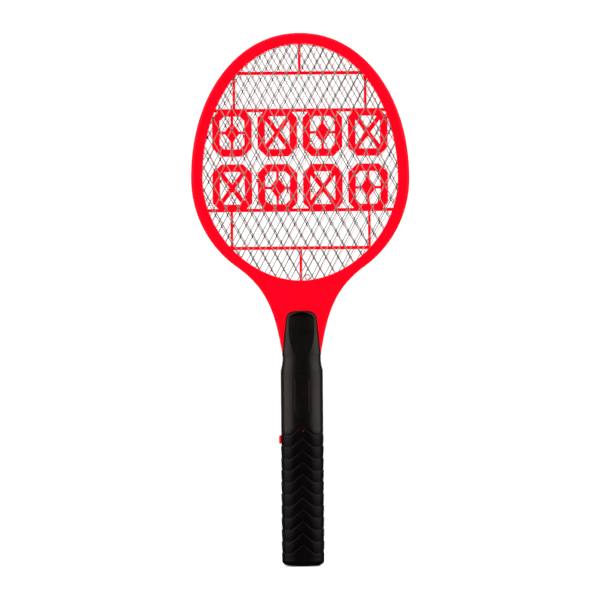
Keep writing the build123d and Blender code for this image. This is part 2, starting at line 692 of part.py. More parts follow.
def lead(*points):
    """An insulated lead."""
    return tube(LEAD_RADIUS, LEAD_BEND, *points)


def leads():
    """Name and route of each lead, all inside the handle and the neck."""
    tail_y = TAIL_Y + CONTACT + LEAD_RADIUS
    back_y = BOARD_FRONT_Y + BOARD_THICKNESS + LEAD_RADIUS
    tab_rise = MESH_THICKNESS / 2 + LEAD_RADIUS
    outer_y = FRAME_HALF_DEPTH - LIP_DEPTH - MESH_THICKNESS - LEAD_RADIUS
    return {
        "battery_lead_positive": [(-CELL_X, tail_y, 62), (-CELL_X, tail_y, 67), (-3.5, 7, 73), (-3.5, back_y, 88)],
        "battery_lead_negative": [(CELL_X, tail_y, 62), (CELL_X, tail_y, 67), (3.5, 7, 73), (3.5, back_y, 88)],
        "centre_mesh_lead": [
            (5.5, back_y, 130),
            (5.5, back_y, 143.5),
            (LEAD_CHANNEL_X, 1.4, 150),
            (LEAD_CHANNEL_X, 1.4, 188),
            (5.5, tab_rise, 222),
            (5.5, tab_rise, 234),
        ],
        "front_mesh_lead": [
            (-2.5, back_y, 130),
            (-2.5, back_y, 143.5),
            (-LEAD_CHANNEL_X, -1.0, 151),
            (-LEAD_CHANNEL_X, -1.0, 186),
            (-5.5, -outer_y, 218),
            (-5.5, -outer_y, 234),
        ],
        "rear_mesh_lead": [
            (-5.5, back_y, 130),
            (-5.5, back_y, 143.5),
            (-LEAD_CHANNEL_X, 1.7, 150),
            (-LEAD_CHANNEL_X, 1.7, 186),
            (-1.5, outer_y, 216),
            (-1.5, outer_y, 234),
        ],
    }


def mesh_eyelet():
    """The round wire eye that hooks the centre mesh at the foot of the opening."""
    return Pos(5.5, -MESH_THICKNESS / 2 - 0.5, HEAD_CENTRE_Z - OPENING_DOWN + 2.9) * Rot(90, 0, 0) * Torus(2.1, 0.45)


# ---- Build ----------------------------------------------------------------------------------------------------

def main():
    os.makedirs("parts", exist_ok=True)
    outer_mesh_y = FRAME_HALF_DEPTH - LIP_DEPTH - MESH_THICKNESS / 2
    form = handle_form()
    nodes = {
        "front_frame": frame_half(-1),
        "rear_frame": frame_half(1),
        "front_mesh": mesh_sheet(-outer_mesh_y, -5.5, 0, 0),
        "centre_mesh": mesh_sheet(0, 5.5, 3.1, 3.4),
        "rear_mesh": mesh_sheet(outer_mesh_y, -1.5, -2.6, 6.0),
        "brick_grille": brick_grille(),
        "rear_spacer": rear_spacer(),
        "mesh_eyelet": mesh_eyelet(),
        "front_shell": front_shell(form),
        "rear_shell": rear_shell(form),
        "battery_door": battery_door(form),
        "power_button": power_button(),
        "switch_plunger": switch_plunger(),
        "switch_housing": switch_housing(),
        "indicator_led": indicator_led(),
        "led_legs": Part() + led_legs(),
        "circuit_board": circuit_board(),
        "transformer_core": transformer_core(),
        "transformer_winding": transformer_winding(),
        "storage_capacitor": film_capacitor(6.5, 97, 9, 6, 11),
        "output_capacitor": film_capacitor(-6, 97, 8, 5, 7),
        "rectifier_diodes": Part() + [axial_part(x, 118, 1.3, 5) for x in (-10.2, -6.6, 10.2)],
        "resistors": Part() + [axial_part(x, 90, 0.9, 4.5) for x in (-1.2, 1.6)],
        "oscillator_transistor": transistor(),
        "left_cell": cell(-CELL_X, BAY_FOOT_Z + SPRING_GAP, True),
        "right_cell": cell(CELL_X, BAY_FOOT_Z, False),
        "lower_contact": lower_contact(),
        "positive_contact": upper_contact(-1),
        "negative_contact": upper_contact(1),
        "lower_contact_spring": contact_spring(-CELL_X, BAY_FOOT_Z),
        "upper_contact_spring": contact_spring(CELL_X, BULKHEAD_Z - CONTACT - SPRING_GAP),
        "shell_screws": Part() + [
            screw(x, z, seat_y, -9.5 if z == NECK_SCREW_Z else -8.5) for x, z, seat_y in screw_seats()
        ],
    }
    nodes.update({name: lead(*route) for name, route in leads().items()})
    for name, shape in nodes.items():
        save(name, shape)


main()
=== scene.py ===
import json
import math

import bmesh
import bpy
from mathutils import Matrix, Vector


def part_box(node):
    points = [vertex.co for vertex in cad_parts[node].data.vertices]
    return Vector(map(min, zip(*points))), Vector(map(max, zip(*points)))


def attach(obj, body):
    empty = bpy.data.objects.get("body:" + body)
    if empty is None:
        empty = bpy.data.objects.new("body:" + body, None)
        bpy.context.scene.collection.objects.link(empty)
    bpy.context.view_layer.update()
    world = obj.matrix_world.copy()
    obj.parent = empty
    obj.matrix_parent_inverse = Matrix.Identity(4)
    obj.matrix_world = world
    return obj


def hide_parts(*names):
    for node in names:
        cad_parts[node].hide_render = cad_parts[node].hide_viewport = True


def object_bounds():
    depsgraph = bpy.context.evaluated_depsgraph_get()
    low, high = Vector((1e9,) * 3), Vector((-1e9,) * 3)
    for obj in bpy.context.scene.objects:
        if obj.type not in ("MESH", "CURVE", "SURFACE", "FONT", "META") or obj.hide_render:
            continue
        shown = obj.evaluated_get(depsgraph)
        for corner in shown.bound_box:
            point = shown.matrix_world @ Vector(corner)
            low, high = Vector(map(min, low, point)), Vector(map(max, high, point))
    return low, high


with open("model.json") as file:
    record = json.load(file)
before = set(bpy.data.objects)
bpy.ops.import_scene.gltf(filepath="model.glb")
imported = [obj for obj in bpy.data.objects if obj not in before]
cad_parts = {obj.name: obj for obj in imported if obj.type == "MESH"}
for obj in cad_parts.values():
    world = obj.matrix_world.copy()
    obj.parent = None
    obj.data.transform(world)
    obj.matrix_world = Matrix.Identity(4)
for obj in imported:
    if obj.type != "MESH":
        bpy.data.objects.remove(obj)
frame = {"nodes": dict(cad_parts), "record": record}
cad_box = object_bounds()

# Electric fly swatter, upright on the butt of its handle: +Z up the handle, the front faces -Y. Metres.

# ---- Driving dimensions --------------------------------------

MM = 0.001

frame_low, frame_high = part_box("front_frame")
mesh_low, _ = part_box("front_mesh")
button_low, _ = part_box("power_button")
lamp_low, lamp_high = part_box("indicator_led")

# Head: eggs about one centre, each with one power above it and another below, where 2 makes an ellipse.
HEAD_CENTRE_Z = 327.3 * MM
HEAD_HALF_WIDTH = frame_high.x
HEAD_UP = frame_high.z - HEAD_CENTRE_Z
HEAD_POWER_UP = 2.07
HEAD_POWER_DOWN = 2.0
OPENING_HALF_WIDTH = 82.6 * MM
OPENING_UP = 113.3 * MM
OPENING_DOWN = 86.2 * MM
OPENING_POWER_UP = 2.05
OPENING_POWER_DOWN = 1.9
REBATE = 4.0 * MM
FRAME_HALF_DEPTH = -frame_low.y
LIP_INNER_Y = -mesh_low.y
FRAME_OUTER_RADIUS = 2.6 * MM
FRAME_INNER_RADIUS = 0.8 * MM
PARTING_INSET = 0.12 * MM
PARTING_BEVEL_Y = 0.35 * MM

NECK_START_Z = 252.3 * MM
NECK_FOOT_Z = 180.0 * MM
NECK_FOOT_HALF_WIDTH = 16.4 * MM
NECK_FOOT_HALF_DEPTH = 7.0 * MM
NECK_FULL_DEPTH_Z = 224.0 * MM
NECK_STRAIGHT_SHARE = 0.75
NECK_EASED_SHARE = 0.39
THROAT_PULL = 35.0 * MM
NECK_FOOT_PULL = 27.0 * MM
NECK_FOOT_FLARE = 0.19

# Expanded metal: one diamond is DIAMOND_WIDTH wide and DIAMOND_HEIGHT high.
DIAMOND_WIDTH = 10.3 * MM
DIAMOND_HEIGHT = 19.0 * MM
STRAND_HALF_THICKNESS = 0.24 * MM
STRAND_TILT_DEGREES = 26
STRAND_END_GAP = 0.4 * MM
BOND_HALF_HEIGHT = 1.4 * MM
BOND_WIDTH_RATIO = 1.9
BOND_LEAN = 0.12
MESH_RIM_INNER = 1.6 * MM
MESH_RIM_OUTER = 3.6 * MM

# Handle sections are |x/a|^p + |y/b|^q = 1, with p and q in each pair of powers.
HANDLE_HALF_WIDTH = 18.0 * MM
HANDLE_HALF_DEPTH = 14.0 * MM
HANDLE_POWERS = (2.6, 2.6)
WAIST_HALF_WIDTH = 16.3 * MM
SHOULDER_HALF_WIDTH = 16.75 * MM
SHOULDER_POWERS = (2.05, 3.9)
SHOULDER_START_Z = 165.4 * MM
WAIST_Z = 176.0 * MM
SHOULDER_END_Z = 180.0 * MM
TONGUE_CORNER_Z = 206.0 * MM
TONGUE_TOP_Z = 215.8 * MM
TONGUE_CORNER_POWERS = (3.6, 3)
TONGUE_TOP_CURVE = 72 * MM
TONGUE_SIDE_SLOPE = 0.107
TONGUE_RIM_RADIUS = 1.5 * MM
TONGUE_SIDE_RADIUS = 1.0 * MM
TONGUE_ROUND_FADE = 6 * MM
NECK_CLEARANCE = 0.05 * MM
WALL = 2.0 * MM
FLOOR = 2.5 * MM

# The last row stops just short of the tongue's top, where the tongue has no width.
TONGUE_SHORT = 0.02 * MM

# How much nearer the middle plane the wall's inside has the tongue's edge, as a share of the wall.
EDGE_INSET_SHARE = 0.8

BUTT_ROUND_HEIGHT = 4.2 * MM
BUTT_ROUND_WIDTH = 7.5 * MM
TRIM_LINE_DEPTH = 0.35 * MM
TRIM_LINE_FRONT_SHARE = 0.5
TRIM_LINE_FADE_TOP = 3 * MM
TRIM_LINE_FADE_BUTT = 4 * MM

# Grip: each chevron line has a ridge below it, and runs out level at the sides.
CHEVRONS = 11
CHEVRON_TOP = 118.2 * MM
CHEVRON_PITCH = 10.0 * MM
CHEVRON_DROP = 7.6 * MM
CHEVRON_SLOPE = 0.9
CHEVRON_SOFTNESS = 2.0 * MM
CHEVRON_TIP = 0.7 * MM
CHEVRON_RISE = 1.0 * MM
CHEVRON_RISE_START = 8 * MM
CHEVRON_RISE_SPAN = 9 * MM
CHEVRON_FADE = 24 * MM
RIDGE_HEIGHT = 0.35 * MM
RIDGE_FALL_POWER = 1.8
LAST_RIDGE_FALL = 1.05
VALLEY_DEPTH = 0.45 * MM
TOP_VALLEY_SPAN = 4.5 * MM
CREST_SHARE = 0.13
SIDE_RELIEF_SHARE = 0.55
GRIP_TOP_Z = CHEVRON_TOP + 0.5 * MM
DOOR_CHEVRON = 4
DOOR_GAP = 0.2 * MM

SCOOP_FOOT_Z = 172.0 * MM
SCOOP_TOP_Z = 214.4 * MM
SCOOP_WIDE_Z = 200.0 * MM
SCOOP_HALF_WIDTH = 11.1 * MM
SCOOP_U_POWER = 0.75
SCOOP_BULGE = 0.34
SCOOP_TOP_RAMP = 3.4 * MM
SCOOP_TOP_CURVE = 62 * MM
SCOOP_SIDE_MARGIN = 0.4 * MM
SCOOP_SIDE_RAMP = 0.6 * MM
OBLONG_CENTRE_Z = 144.8 * MM
OBLONG_HALF_LENGTH = 18.7 * MM
OBLONG_HALF_WIDTH = 6.5 * MM
OBLONG_DEPTH = 0.45 * MM
OBLONG_RAMP = 0.9 * MM

# Button slot, screw recesses and lamp.
SLOT_HALF_DEPTH = 2.4 * MM
SLOT_LOW_Z = 103.4 * MM
SLOT_HIGH_Z = 110.4 * MM
SLOT_INNER_X = -14.6 * MM
SLOT_CLEARANCE = 0.3 * MM
SLOT_CORNER_RADIUS = 0.9 * MM
SCREW_RECESS_RADIUS = 3.0 * MM
LAMP_SHIFT_X = 0.8 * MM
LAMP_SHIFT_Z = 1.2 * MM
LAMP_RADIUS = 1.0 * MM
LAMP_HOLE_RADIUS = 1.12 * MM
LAMP_FLANGE_HEIGHT = 1.0 * MM

# Each screw's x, z and the depth of its seat.
SCREWS = ((0.0, 160 * MM, 11.0 * MM), (-10 * MM, 77 * MM, 7.6 * MM), (10 * MM, 77 * MM, 7.6 * MM))

# Rows of a handle section between the middle plane and the tongue's edge, as shares of that depth.
SIDE_ROWS = (0.0, 0.03, 0.12, 0.24, 0.38, 0.54, 0.72, 0.88, 0.96)
EDGE = len(SIDE_ROWS)
SAME_HEIGHT = 0.01 * MM


# ---- Small helpers -------------------------------------------

def smooth(t):
    """0 below 0, 1 above 1, and a smooth step between."""
    t = min(1.0, max(0.0, t))
    return t * t * (3 - 2 * t)


def spread(low, high, count):
    """Evenly spaced values from low to high, count steps apart."""
    return [low + (high - low) * i / count for i in range(count + 1)]


def new_object(name, vertices, faces, sharp_degrees=40):
    """A linked mesh object, smooth except at edges sharper than sharp_degrees."""
    mesh = bpy.data.meshes.new(name)
    mesh.from_pydata(vertices, [], faces)
    mesh.validate()
    shape = bmesh.new()
    shape.from_mesh(mesh)
    bmesh.ops.recalc_face_normals(shape, faces=shape.faces)
    shape.to_mesh(mesh)
    shape.free()
    mesh.shade_smooth()
    mesh.set_sharp_from_angle(angle=math.radians(sharp_degrees))
    obj = bpy.data.objects.new(name, mesh)
    bpy.context.collection.objects.link(obj)
    return obj


def place(obj, body, node, slot, *materials):
    """Gives a piece its materials and its body, and hides the CAD node it stands for; slot is not used."""
    for material in materials:
        obj.data.materials.append(material)
    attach(obj, body)
    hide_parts(node)


def apply_modifiers(obj):
    graph = bpy.context.evaluated_depsgraph_get()
    mesh = bpy.data.meshes.new_from_object(obj.evaluated_get(graph))
    obj.modifiers.clear()
    old = obj.data
    obj.data = mesh
    bpy.data.meshes.remove(old)


def cut(obj, cutters):
    """Takes closed cutter objects out of a closed object."""
    for cutter in cutters:
        step = obj.modifiers.new("cut", "BOOLEAN")
        step.operation = "DIFFERENCE"
        step.solver = "EXACT"
        step.object = cutter
    bpy.context.view_layer.update()
    apply_modifiers(obj)
    for cutter in cutters:
        bpy.data.objects.remove(cutter, do_unlink=True)
    obj.data.shade_smooth()
    obj.data.set_sharp_from_angle(angle=math.radians(40))


# ---- Materials -----------------------------------------------

def add_noise(tree, coordinates, size, detail):
    noise = tree.nodes.new("ShaderNodeTexNoise")
    noise.inputs["Scale"].default_value = 1 / size
    noise.inputs["Detail"].default_value = detail
    tree.links.new(coordinates, noise.inputs["Vector"])
    return noise.outputs["Fac"]


def add_range(tree, value, low, high, from_low=0.3, from_high=0.7):
    """Maps a value's range from_low to from_high onto low to high."""
    node = tree.nodes.new("ShaderNodeMapRange")
    node.inputs["From Min"].default_value = from_low
    node.inputs["From Max"].default_value = from_high
    node.inputs["To Min"].default_value = low
    node.inputs["To Max"].default_value = high
    tree.links.new(value, node.inputs["Value"])
    return node.outputs["Result"]


def add_colours(tree, value, colours):
    """A colour ramp through (position, colour) pairs."""
    ramp = tree.nodes.new("ShaderNodeValToRGB").color_ramp
    node = tree.nodes[-1]
    while len(ramp.elements) < len(colours):
        ramp.elements.new(0.5)
    for element, (position, colour) in zip(ramp.elements, colours):
        element.position = position
        element.color = (*colour, 1)
    tree.links.new(value, node.inputs["Fac"])
    return node.outputs["Color"]


def surface(name, colour, rough, metallic=0.0, specular=0.5, patch=0.03, variation=0.12, grain=0.0004,
            grain_bump=0.1, wave=0.0, accent=None, sheen_tint=(1, 1, 1)):
    """A finish with colour patches, uneven roughness, a moulded or rolled grain and, on request, waviness.

    rough is the range of roughness; accent is a second colour that shows in the patches' high spots."""
    material = bpy.data.materials.new(name)
    material.use_nodes = True
    tree = material.node_tree
    shader = tree.nodes["Principled BSDF"]
    shader.inputs["Metallic"].default_value = metallic
    shader.inputs["Specular IOR Level"].default_value = specular
    shader.inputs["Specular Tint"].default_value = (*sheen_tint, 1)
    where = tree.nodes.new("ShaderNodeTexCoord").outputs["Object"]
    patches = add_noise(tree, where, patch, 3)
    darker = tuple(c * (1 - variation) for c in colour)
    lighter = accent or tuple(min(1.0, c * (1 + variation)) for c in colour)
    tree.links.new(add_colours(tree, patches, [(0.32, darker), (0.5, colour), (0.72, lighter)]),
                   shader.inputs["Base Color"])
    unevenness = add_noise(tree, where, patch / 4, 4)
    tree.links.new(add_range(tree, unevenness, *rough), shader.inputs["Roughness"])
    bump = tree.nodes.new("ShaderNodeBump")
    bump.inputs["Strength"].default_value = grain_bump
    bump.inputs["Distance"].default_value = 0.0002
    tree.links.new(add_noise(tree, where, grain, 2), bump.inputs["Height"])
    if wave:
        slow = tree.nodes.new("ShaderNodeBump")
        slow.inputs["Strength"].default_value = wave
        slow.inputs["Distance"].default_value = 0.0008
        tree.links.new(add_noise(tree, where, 0.012, 2), slow.inputs["Height"])
        tree.links.new(slow.outputs["Normal"], bump.inputs["Normal"])
    tree.links.new(bump.outputs["Normal"], shader.inputs["Normal"])
    return material


def cell_sleeve(name, low_z, high_z, nub_up):
    """A printed sleeve: bare metal at both ends, a copper band below the nub and dark green for the rest."""
    steel, green, copper = (0.62, 0.61, 0.60), (0.015, 0.10, 0.055), (0.55, 0.24, 0.10)
    material = surface(name, (0.02, 0.10, 0.06), (0.25, 0.4), metallic=0.35, variation=0.1, grain_bump=0.03)
    tree = material.node_tree
    shader = tree.nodes["Principled BSDF"]
    where = tree.nodes.new("ShaderNodeTexCoord").outputs["Object"]
    apart = tree.nodes.new("ShaderNodeSeparateXYZ")
    tree.links.new(where, apart.inputs["Vector"])
    ends = (low_z, high_z) if nub_up else (high_z, low_z)
    height = add_range(tree, apart.outputs["Z"], 0.0, 1.0, *ends)
    bands = [(0.0, steel), (0.03, green), (0.70, copper), (0.945, steel)]
    colours = add_colours(tree, height, bands)
    tree.nodes[-1].color_ramp.interpolation = "CONSTANT"
    tree.links.new(colours, shader.inputs["Base Color"])
    return material


def mesh_finish(name, colour, rough, metallic, specular=0.5, variation=0.3):
    """Weathered bare metal with a fine uneven grain."""
    return surface(name, colour, rough, metallic, specular, patch=0.004, variation=variation, grain_bump=0.2)


def black_finish(name, rough, specular, grain_bump, sheen_tint):
    """Black moulded plastic, whose reflections are a little warm."""
    return surface(name, (0.0009, 0.0007, 0.0007), rough, specular=specular, variation=0.25, grain=0.0005,
                   grain_bump=grain_bump, wave=0.03, sheen_tint=sheen_tint)


def make_materials():
    dull, matt = (0.4, 0.6), (0.45, 0.6)
    insulation = (0.4, 0.55)
    return {
        "red": surface("red_moulded_plastic", (0.95, 0.0, 0.008), (0.36, 0.48), specular=0.03,
                       variation=0.03, grain_bump=0.05, wave=0.05),
        "black": black_finish("black_moulded_plastic", (0.31, 0.39), 0.135, 0.2, (1.0, 0.86, 0.8)),
        "grip": black_finish("black_grip_plastic", (0.32, 0.40), 0.058, 0.25, (1.0, 0.88, 0.84)),
        "front_mesh": mesh_finish("front_strands", (0.15, 0.15, 0.135), dull, 0.4, 0.3),
        # Each knots finish is a darker copy of its sheet's strand finish. It is painted shade on the tilted
        # bonds, which are the same metal.
        "front_mesh_knots_painted_shade": mesh_finish("front_knots_painted_shade", (0.02, 0.02, 0.018), matt, 0.3, 0.2),
        "centre_mesh": mesh_finish("centre_strands", (0.085, 0.055, 0.05), dull, 0.4, 0.2, variation=0.4),
        "centre_mesh_knots_painted_shade": mesh_finish("centre_knots_painted_shade", (0.02, 0.015, 0.015), matt, 0.3, 0.2),
        # The rear sheet's pale pink is painted light: the white backlight's glow and the red frame's
        # reflection on bare metal.
        "rear_mesh": mesh_finish("rear_strands", (0.80, 0.56, 0.54), dull, 0.2, variation=0.12),
        "rear_mesh_knots_painted_shade": mesh_finish("rear_knots_painted_shade", (0.60, 0.38, 0.36), dull, 0.2, variation=0.12),
        "button": surface("button_plastic", (0.90, 0.002, 0.004), (0.3, 0.4), specular=0.12, variation=0.05,
                          grain_bump=0.04),
        "lamp": surface("lamp_resin", (0.06, 0.001, 0.002), (0.25, 0.35), specular=0.06, variation=0.2,
                        grain_bump=0.02),
        "switch_plastic": surface("switch_plastic", (0.02, 0.02, 0.02), (0.4, 0.55)),
        "board": surface("solder_mask", (0.02, 0.16, 0.06), (0.25, 0.4), patch=0.006, variation=0.25,
                         accent=(0.05, 0.26, 0.11)),
        "ferrite": surface("ferrite", (0.045, 0.045, 0.05), (0.55, 0.75), patch=0.003, grain_bump=0.3),
        "winding_tape": surface("winding_tape", (0.70, 0.48, 0.05), (0.3, 0.5), patch=0.004, variation=0.2),
        "capacitor_coat": surface("capacitor_coat", (0.42, 0.09, 0.03), (0.2, 0.35), patch=0.005, wave=0.2),
        "diode_body": surface("moulded_epoxy", (0.02, 0.02, 0.021), matt, patch=0.003, grain_bump=0.3),
        "resistor_coat": surface("resistor_lacquer", (0.55, 0.42, 0.26), (0.35, 0.5), patch=0.002,
                                 variation=0.2),
        "contact_metal": surface("nickel_plate", (0.62, 0.60, 0.56), (0.22, 0.4), metallic=1.0, patch=0.006),
        "screw_metal": surface("zinc_plate", (0.22, 0.22, 0.225), dull, metallic=1.0, patch=0.002),
        "wire": surface("bare_wire", (0.35, 0.34, 0.33), (0.3, 0.5), metallic=0.9, patch=0.003),
        "red_insulation": surface("red_insulation", (0.55, 0.01, 0.01), insulation, patch=0.006,
                                  grain_bump=0.15),
        "black_insulation": surface("black_insulation", (0.012, 0.012, 0.013), insulation, patch=0.006),
        "white_insulation": surface("white_insulation", (0.70, 0.69, 0.66), insulation, patch=0.006),
    }


# ---- Head frame ----------------------------------------------

def egg_point(angle, half_width, up, down, power_up, power_down):
    """The point of an egg about the head's centre in a direction, measured from +X towards +Z."""
    c, s = math.cos(angle), math.sin(angle)
    height, power = (up, power_up) if s >= 0 else (down, power_down)
    reach = 1 / ((abs(c) / half_width) ** power + (abs(s) / height) ** power) ** (1 / power)
    return Vector((reach * c, HEAD_CENTRE_Z + reach * s))


def opening_point(angle, grown=0.0):
    return egg_point(angle, OPENING_HALF_WIDTH + grown, OPENING_UP + grown, OPENING_DOWN + grown,
                     OPENING_POWER_UP, OPENING_POWER_DOWN)


def neck_side_points(count=34):
    """The throat's right side, from the head's circle down to the foot of the neck."""
    drop = HEAD_CENTRE_Z - NECK_START_Z
    start = Vector((math.sqrt(HEAD_HALF_WIDTH**2 - drop**2), NECK_START_Z))
    along = Vector((-drop, -start.x)).normalized()
    end = Vector((NECK_FOOT_HALF_WIDTH, NECK_FOOT_Z))
    first = start + along * THROAT_PULL
    second = end + Vector((NECK_FOOT_FLARE, 1.0)).normalized() * NECK_FOOT_PULL
    points = []
    for t in spread(0.0, 1.0, count):
        u = 1 - t
        points.append(u**3 * start + 3 * u * u * t * first + 3 * u * t * t * second + t**3 * end)
    return points


def outline_points():
    """The frame's outside, once round: up from the right of the neck, over the head and down its left."""
    right = list(reversed(neck_side_points()))
    first_angle = math.atan2(right[-1].y - HEAD_CENTRE_Z, right[-1].x)
    head = [
        egg_point(angle, HEAD_HALF_WIDTH, HEAD_UP, HEAD_HALF_WIDTH, HEAD_POWER_UP, HEAD_POWER_DOWN)
        for angle in spread(first_angle, math.pi - first_angle, 220)[1:-1]
    ]
    left = [Vector((-p.x, p.y)) for p in reversed(right)]
    foot = [Vector((x, NECK_FOOT_Z)) for x in spread(-NECK_FOOT_HALF_WIDTH, NECK_FOOT_HALF_WIDTH, 12)[1:-1]]
    return right + head + left + foot


def inward_normals(points):
    """Unit vectors that point into a closed outline which runs counter-clockwise."""
    count = len(points)
    normals = []
    for i in range(count):
        along = (points[(i + 1) % count] - points[i - 1]).normalized()
        normals.append(Vector((-along.y, along.x)))
    return normals


def face_depth(z):
    """Half the frame's thickness: the neck thickens smoothly from its foot up to the head."""
    share = max(0.0, (z - NECK_FOOT_Z) / (NECK_FULL_DEPTH_Z - NECK_FOOT_Z))
    past = share - NECK_STRAIGHT_SHARE
    if past >= 0:
        eased = math.sin(min(1.0, past / NECK_EASED_SHARE) * math.pi / 2)
        share = NECK_STRAIGHT_SHARE + (1 - NECK_STRAIGHT_SHARE) * eased
    return NECK_FOOT_HALF_DEPTH + (FRAME_HALF_DEPTH - NECK_FOOT_HALF_DEPTH) * share


def frame_profile(point, inward):
    """The frame's section at a point of its outside, as (spot, depth) pairs from the opening outwards."""
    angle = math.atan2(point.y - HEAD_CENTRE_Z, point.x)
    lip = opening_point(angle)
    wall = opening_point(angle, REBATE)
    outward = (lip - Vector((0, HEAD_CENTRE_Z))).normalized()
    profile = [(wall, 0.0), (wall, LIP_INNER_Y), (lip, LIP_INNER_Y)]
    inner_steps, face_steps, outer_steps = 5, 18, 10
    for i in range(inner_steps + 1):
        turn = math.pi / 2 * i / inner_steps
        inset = FRAME_INNER_RADIUS * (1 - math.cos(turn))
        depth = FRAME_HALF_DEPTH - FRAME_INNER_RADIUS * (1 - math.sin(turn))
        profile.append((lip + outward * inset, depth))
    face_start = lip + outward * FRAME_INNER_RADIUS
    face_end = point + inward * FRAME_OUTER_RADIUS
    for share in spread(0.0, 1.0, face_steps)[1:-1]:
        spot = face_start.lerp(face_end, share)
        profile.append((spot, face_depth(spot.y)))
    for i in range(outer_steps + 1):
        turn = math.pi / 2 * (1 - i / outer_steps)
        spot = point + inward * FRAME_OUTER_RADIUS * (1 - math.cos(turn))
        profile.append((spot, face_depth(spot.y) - FRAME_OUTER_RADIUS * (1 - math.sin(turn))))
    profile.append((point, PARTING_BEVEL_Y))
    profile.append((point + inward * PARTING_INSET, PARTING_INSET))
    profile.append((point + inward * PARTING_INSET, 0.0))
    return profile


def frame_half(name, side):
    """One red half: a ring with a lip over the mesh, a rounded outside and the neck, as loops."""
    outside = outline_points()
    vertices, faces = [], []
    for point, inward in zip(outside, inward_normals(outside)):
        profile = frame_profile(point, inward)
        vertices += [(spot.x, side * depth, spot.y) for spot, depth in profile]
    loop = len(profile)
    rounds = len(outside)
    for i in range(rounds):
        for k in range(loop):
            a, b = i * loop + k, i * loop + (k + 1) % loop
            c, d = (i + 1) % rounds * loop + (k + 1) % loop, (i + 1) % rounds * loop + k
            faces.append((a, b, c, d))
    return new_object(name, vertices, faces, 50)


# ---- Expanded metal meshes -----------------------------------

def inside_opening(x, z, grown):
    """Whether a spot lies inside the opening, grown by a margin."""
    angle = math.atan2(z - HEAD_CENTRE_Z, x)
    reach = (opening_point(angle, grown) - Vector((0, HEAD_CENTRE_Z))).length
    return math.hypot(x, z - HEAD_CENTRE_Z) < reach


def add_stack(faces, first, count, rows):
    """The faces of a closed stack of rings, with count points in each, from the vertex first on."""
    for row in range(rows - 1):
        low = first + row * count
        for i in range(count):
            j = (i + 1) % count
            faces.append((low + i, low + j, low + count + j, low + count + i))
    top = first + (rows - 1) * count
    faces.append(tuple(first + i for i in reversed(range(count))))
    faces.append(tuple(top + i for i in range(count)))


def add_prism(vertices, faces, start, end, across, thick):
    """A bar with a flattened hexagonal section between two points, tilted about its own length."""
    first = len(vertices)
    ring = [(-1.0, 0.0), (-0.55, 1.0), (0.55, 1.0), (1.0, 0.0), (0.55, -1.0), (-0.55, -1.0)]
    for point in (start, end):
        vertices += [tuple(point + across * s + thick * t) for s, t in ring]
    add_stack(faces, first, len(ring), 2)


def add_bond(vertices, faces, centre, half_width, lean):
    """The upright knot where four strands join: a lozenge that leans out of the sheet."""
    first = len(vertices)
    levels = [(-1.0, 0.35), (-0.55, 0.9), (0.0, 1.0), (0.55, 0.9), (1.0, 0.35)]
    ring = [(-1.0, 0.0), (-0.5, 0.9), (0.5, 0.9), (1.0, 0.0), (0.5, -0.9), (-0.5, -0.9)]
    for level, width in levels:
        for s, t in ring:
            x = centre.x + s * half_width * width
            y = centre.y + t * STRAND_HALF_THICKNESS * width + lean * level * BOND_HALF_HEIGHT
            vertices.append((x, y, centre.z + level * BOND_HALF_HEIGHT))
    add_stack(faces, first, len(ring), len(levels))


def add_rim(vertices, faces, middle_y, rounds=160):
    """The uncut edge of the sheet, held under the frame's lip."""
    first = len(vertices)
    for i in range(rounds):
        angle = 2 * math.pi * i / rounds
        near, far = opening_point(angle, MESH_RIM_INNER), opening_point(angle, MESH_RIM_OUTER)
        corners = [(near, -1), (near, 1), (far, 1), (far, -1)]
        vertices += [(p.x, middle_y + s * STRAND_HALF_THICKNESS, p.y) for p, s in corners]
    for i in range(rounds):
        here, there = first + i * 4, first + (i + 1) % rounds * 4
        for k in range(4):
            j = (k + 1) % 4
            faces.append((here + k, here + j, there + j, there + k))


def clip_strand(start, end):
    """The part of a strand that lies on the sheet, or None where both ends are off it."""
    here = inside_opening(start.x, start.z, MESH_RIM_INNER)
    there = inside_opening(end.x, end.z, MESH_RIM_INNER)
    if here == there:
        return (start, end) if here else None
    inner, outer = (start, end) if here else (end, start)
    for share in spread(1.0, 0.0, 24):
        edge = inner.lerp(outer, share)
        if inside_opening(edge.x, edge.z, MESH_RIM_OUTER - STRAND_END_GAP):
            break
    return (inner, edge) if here else (edge, inner)


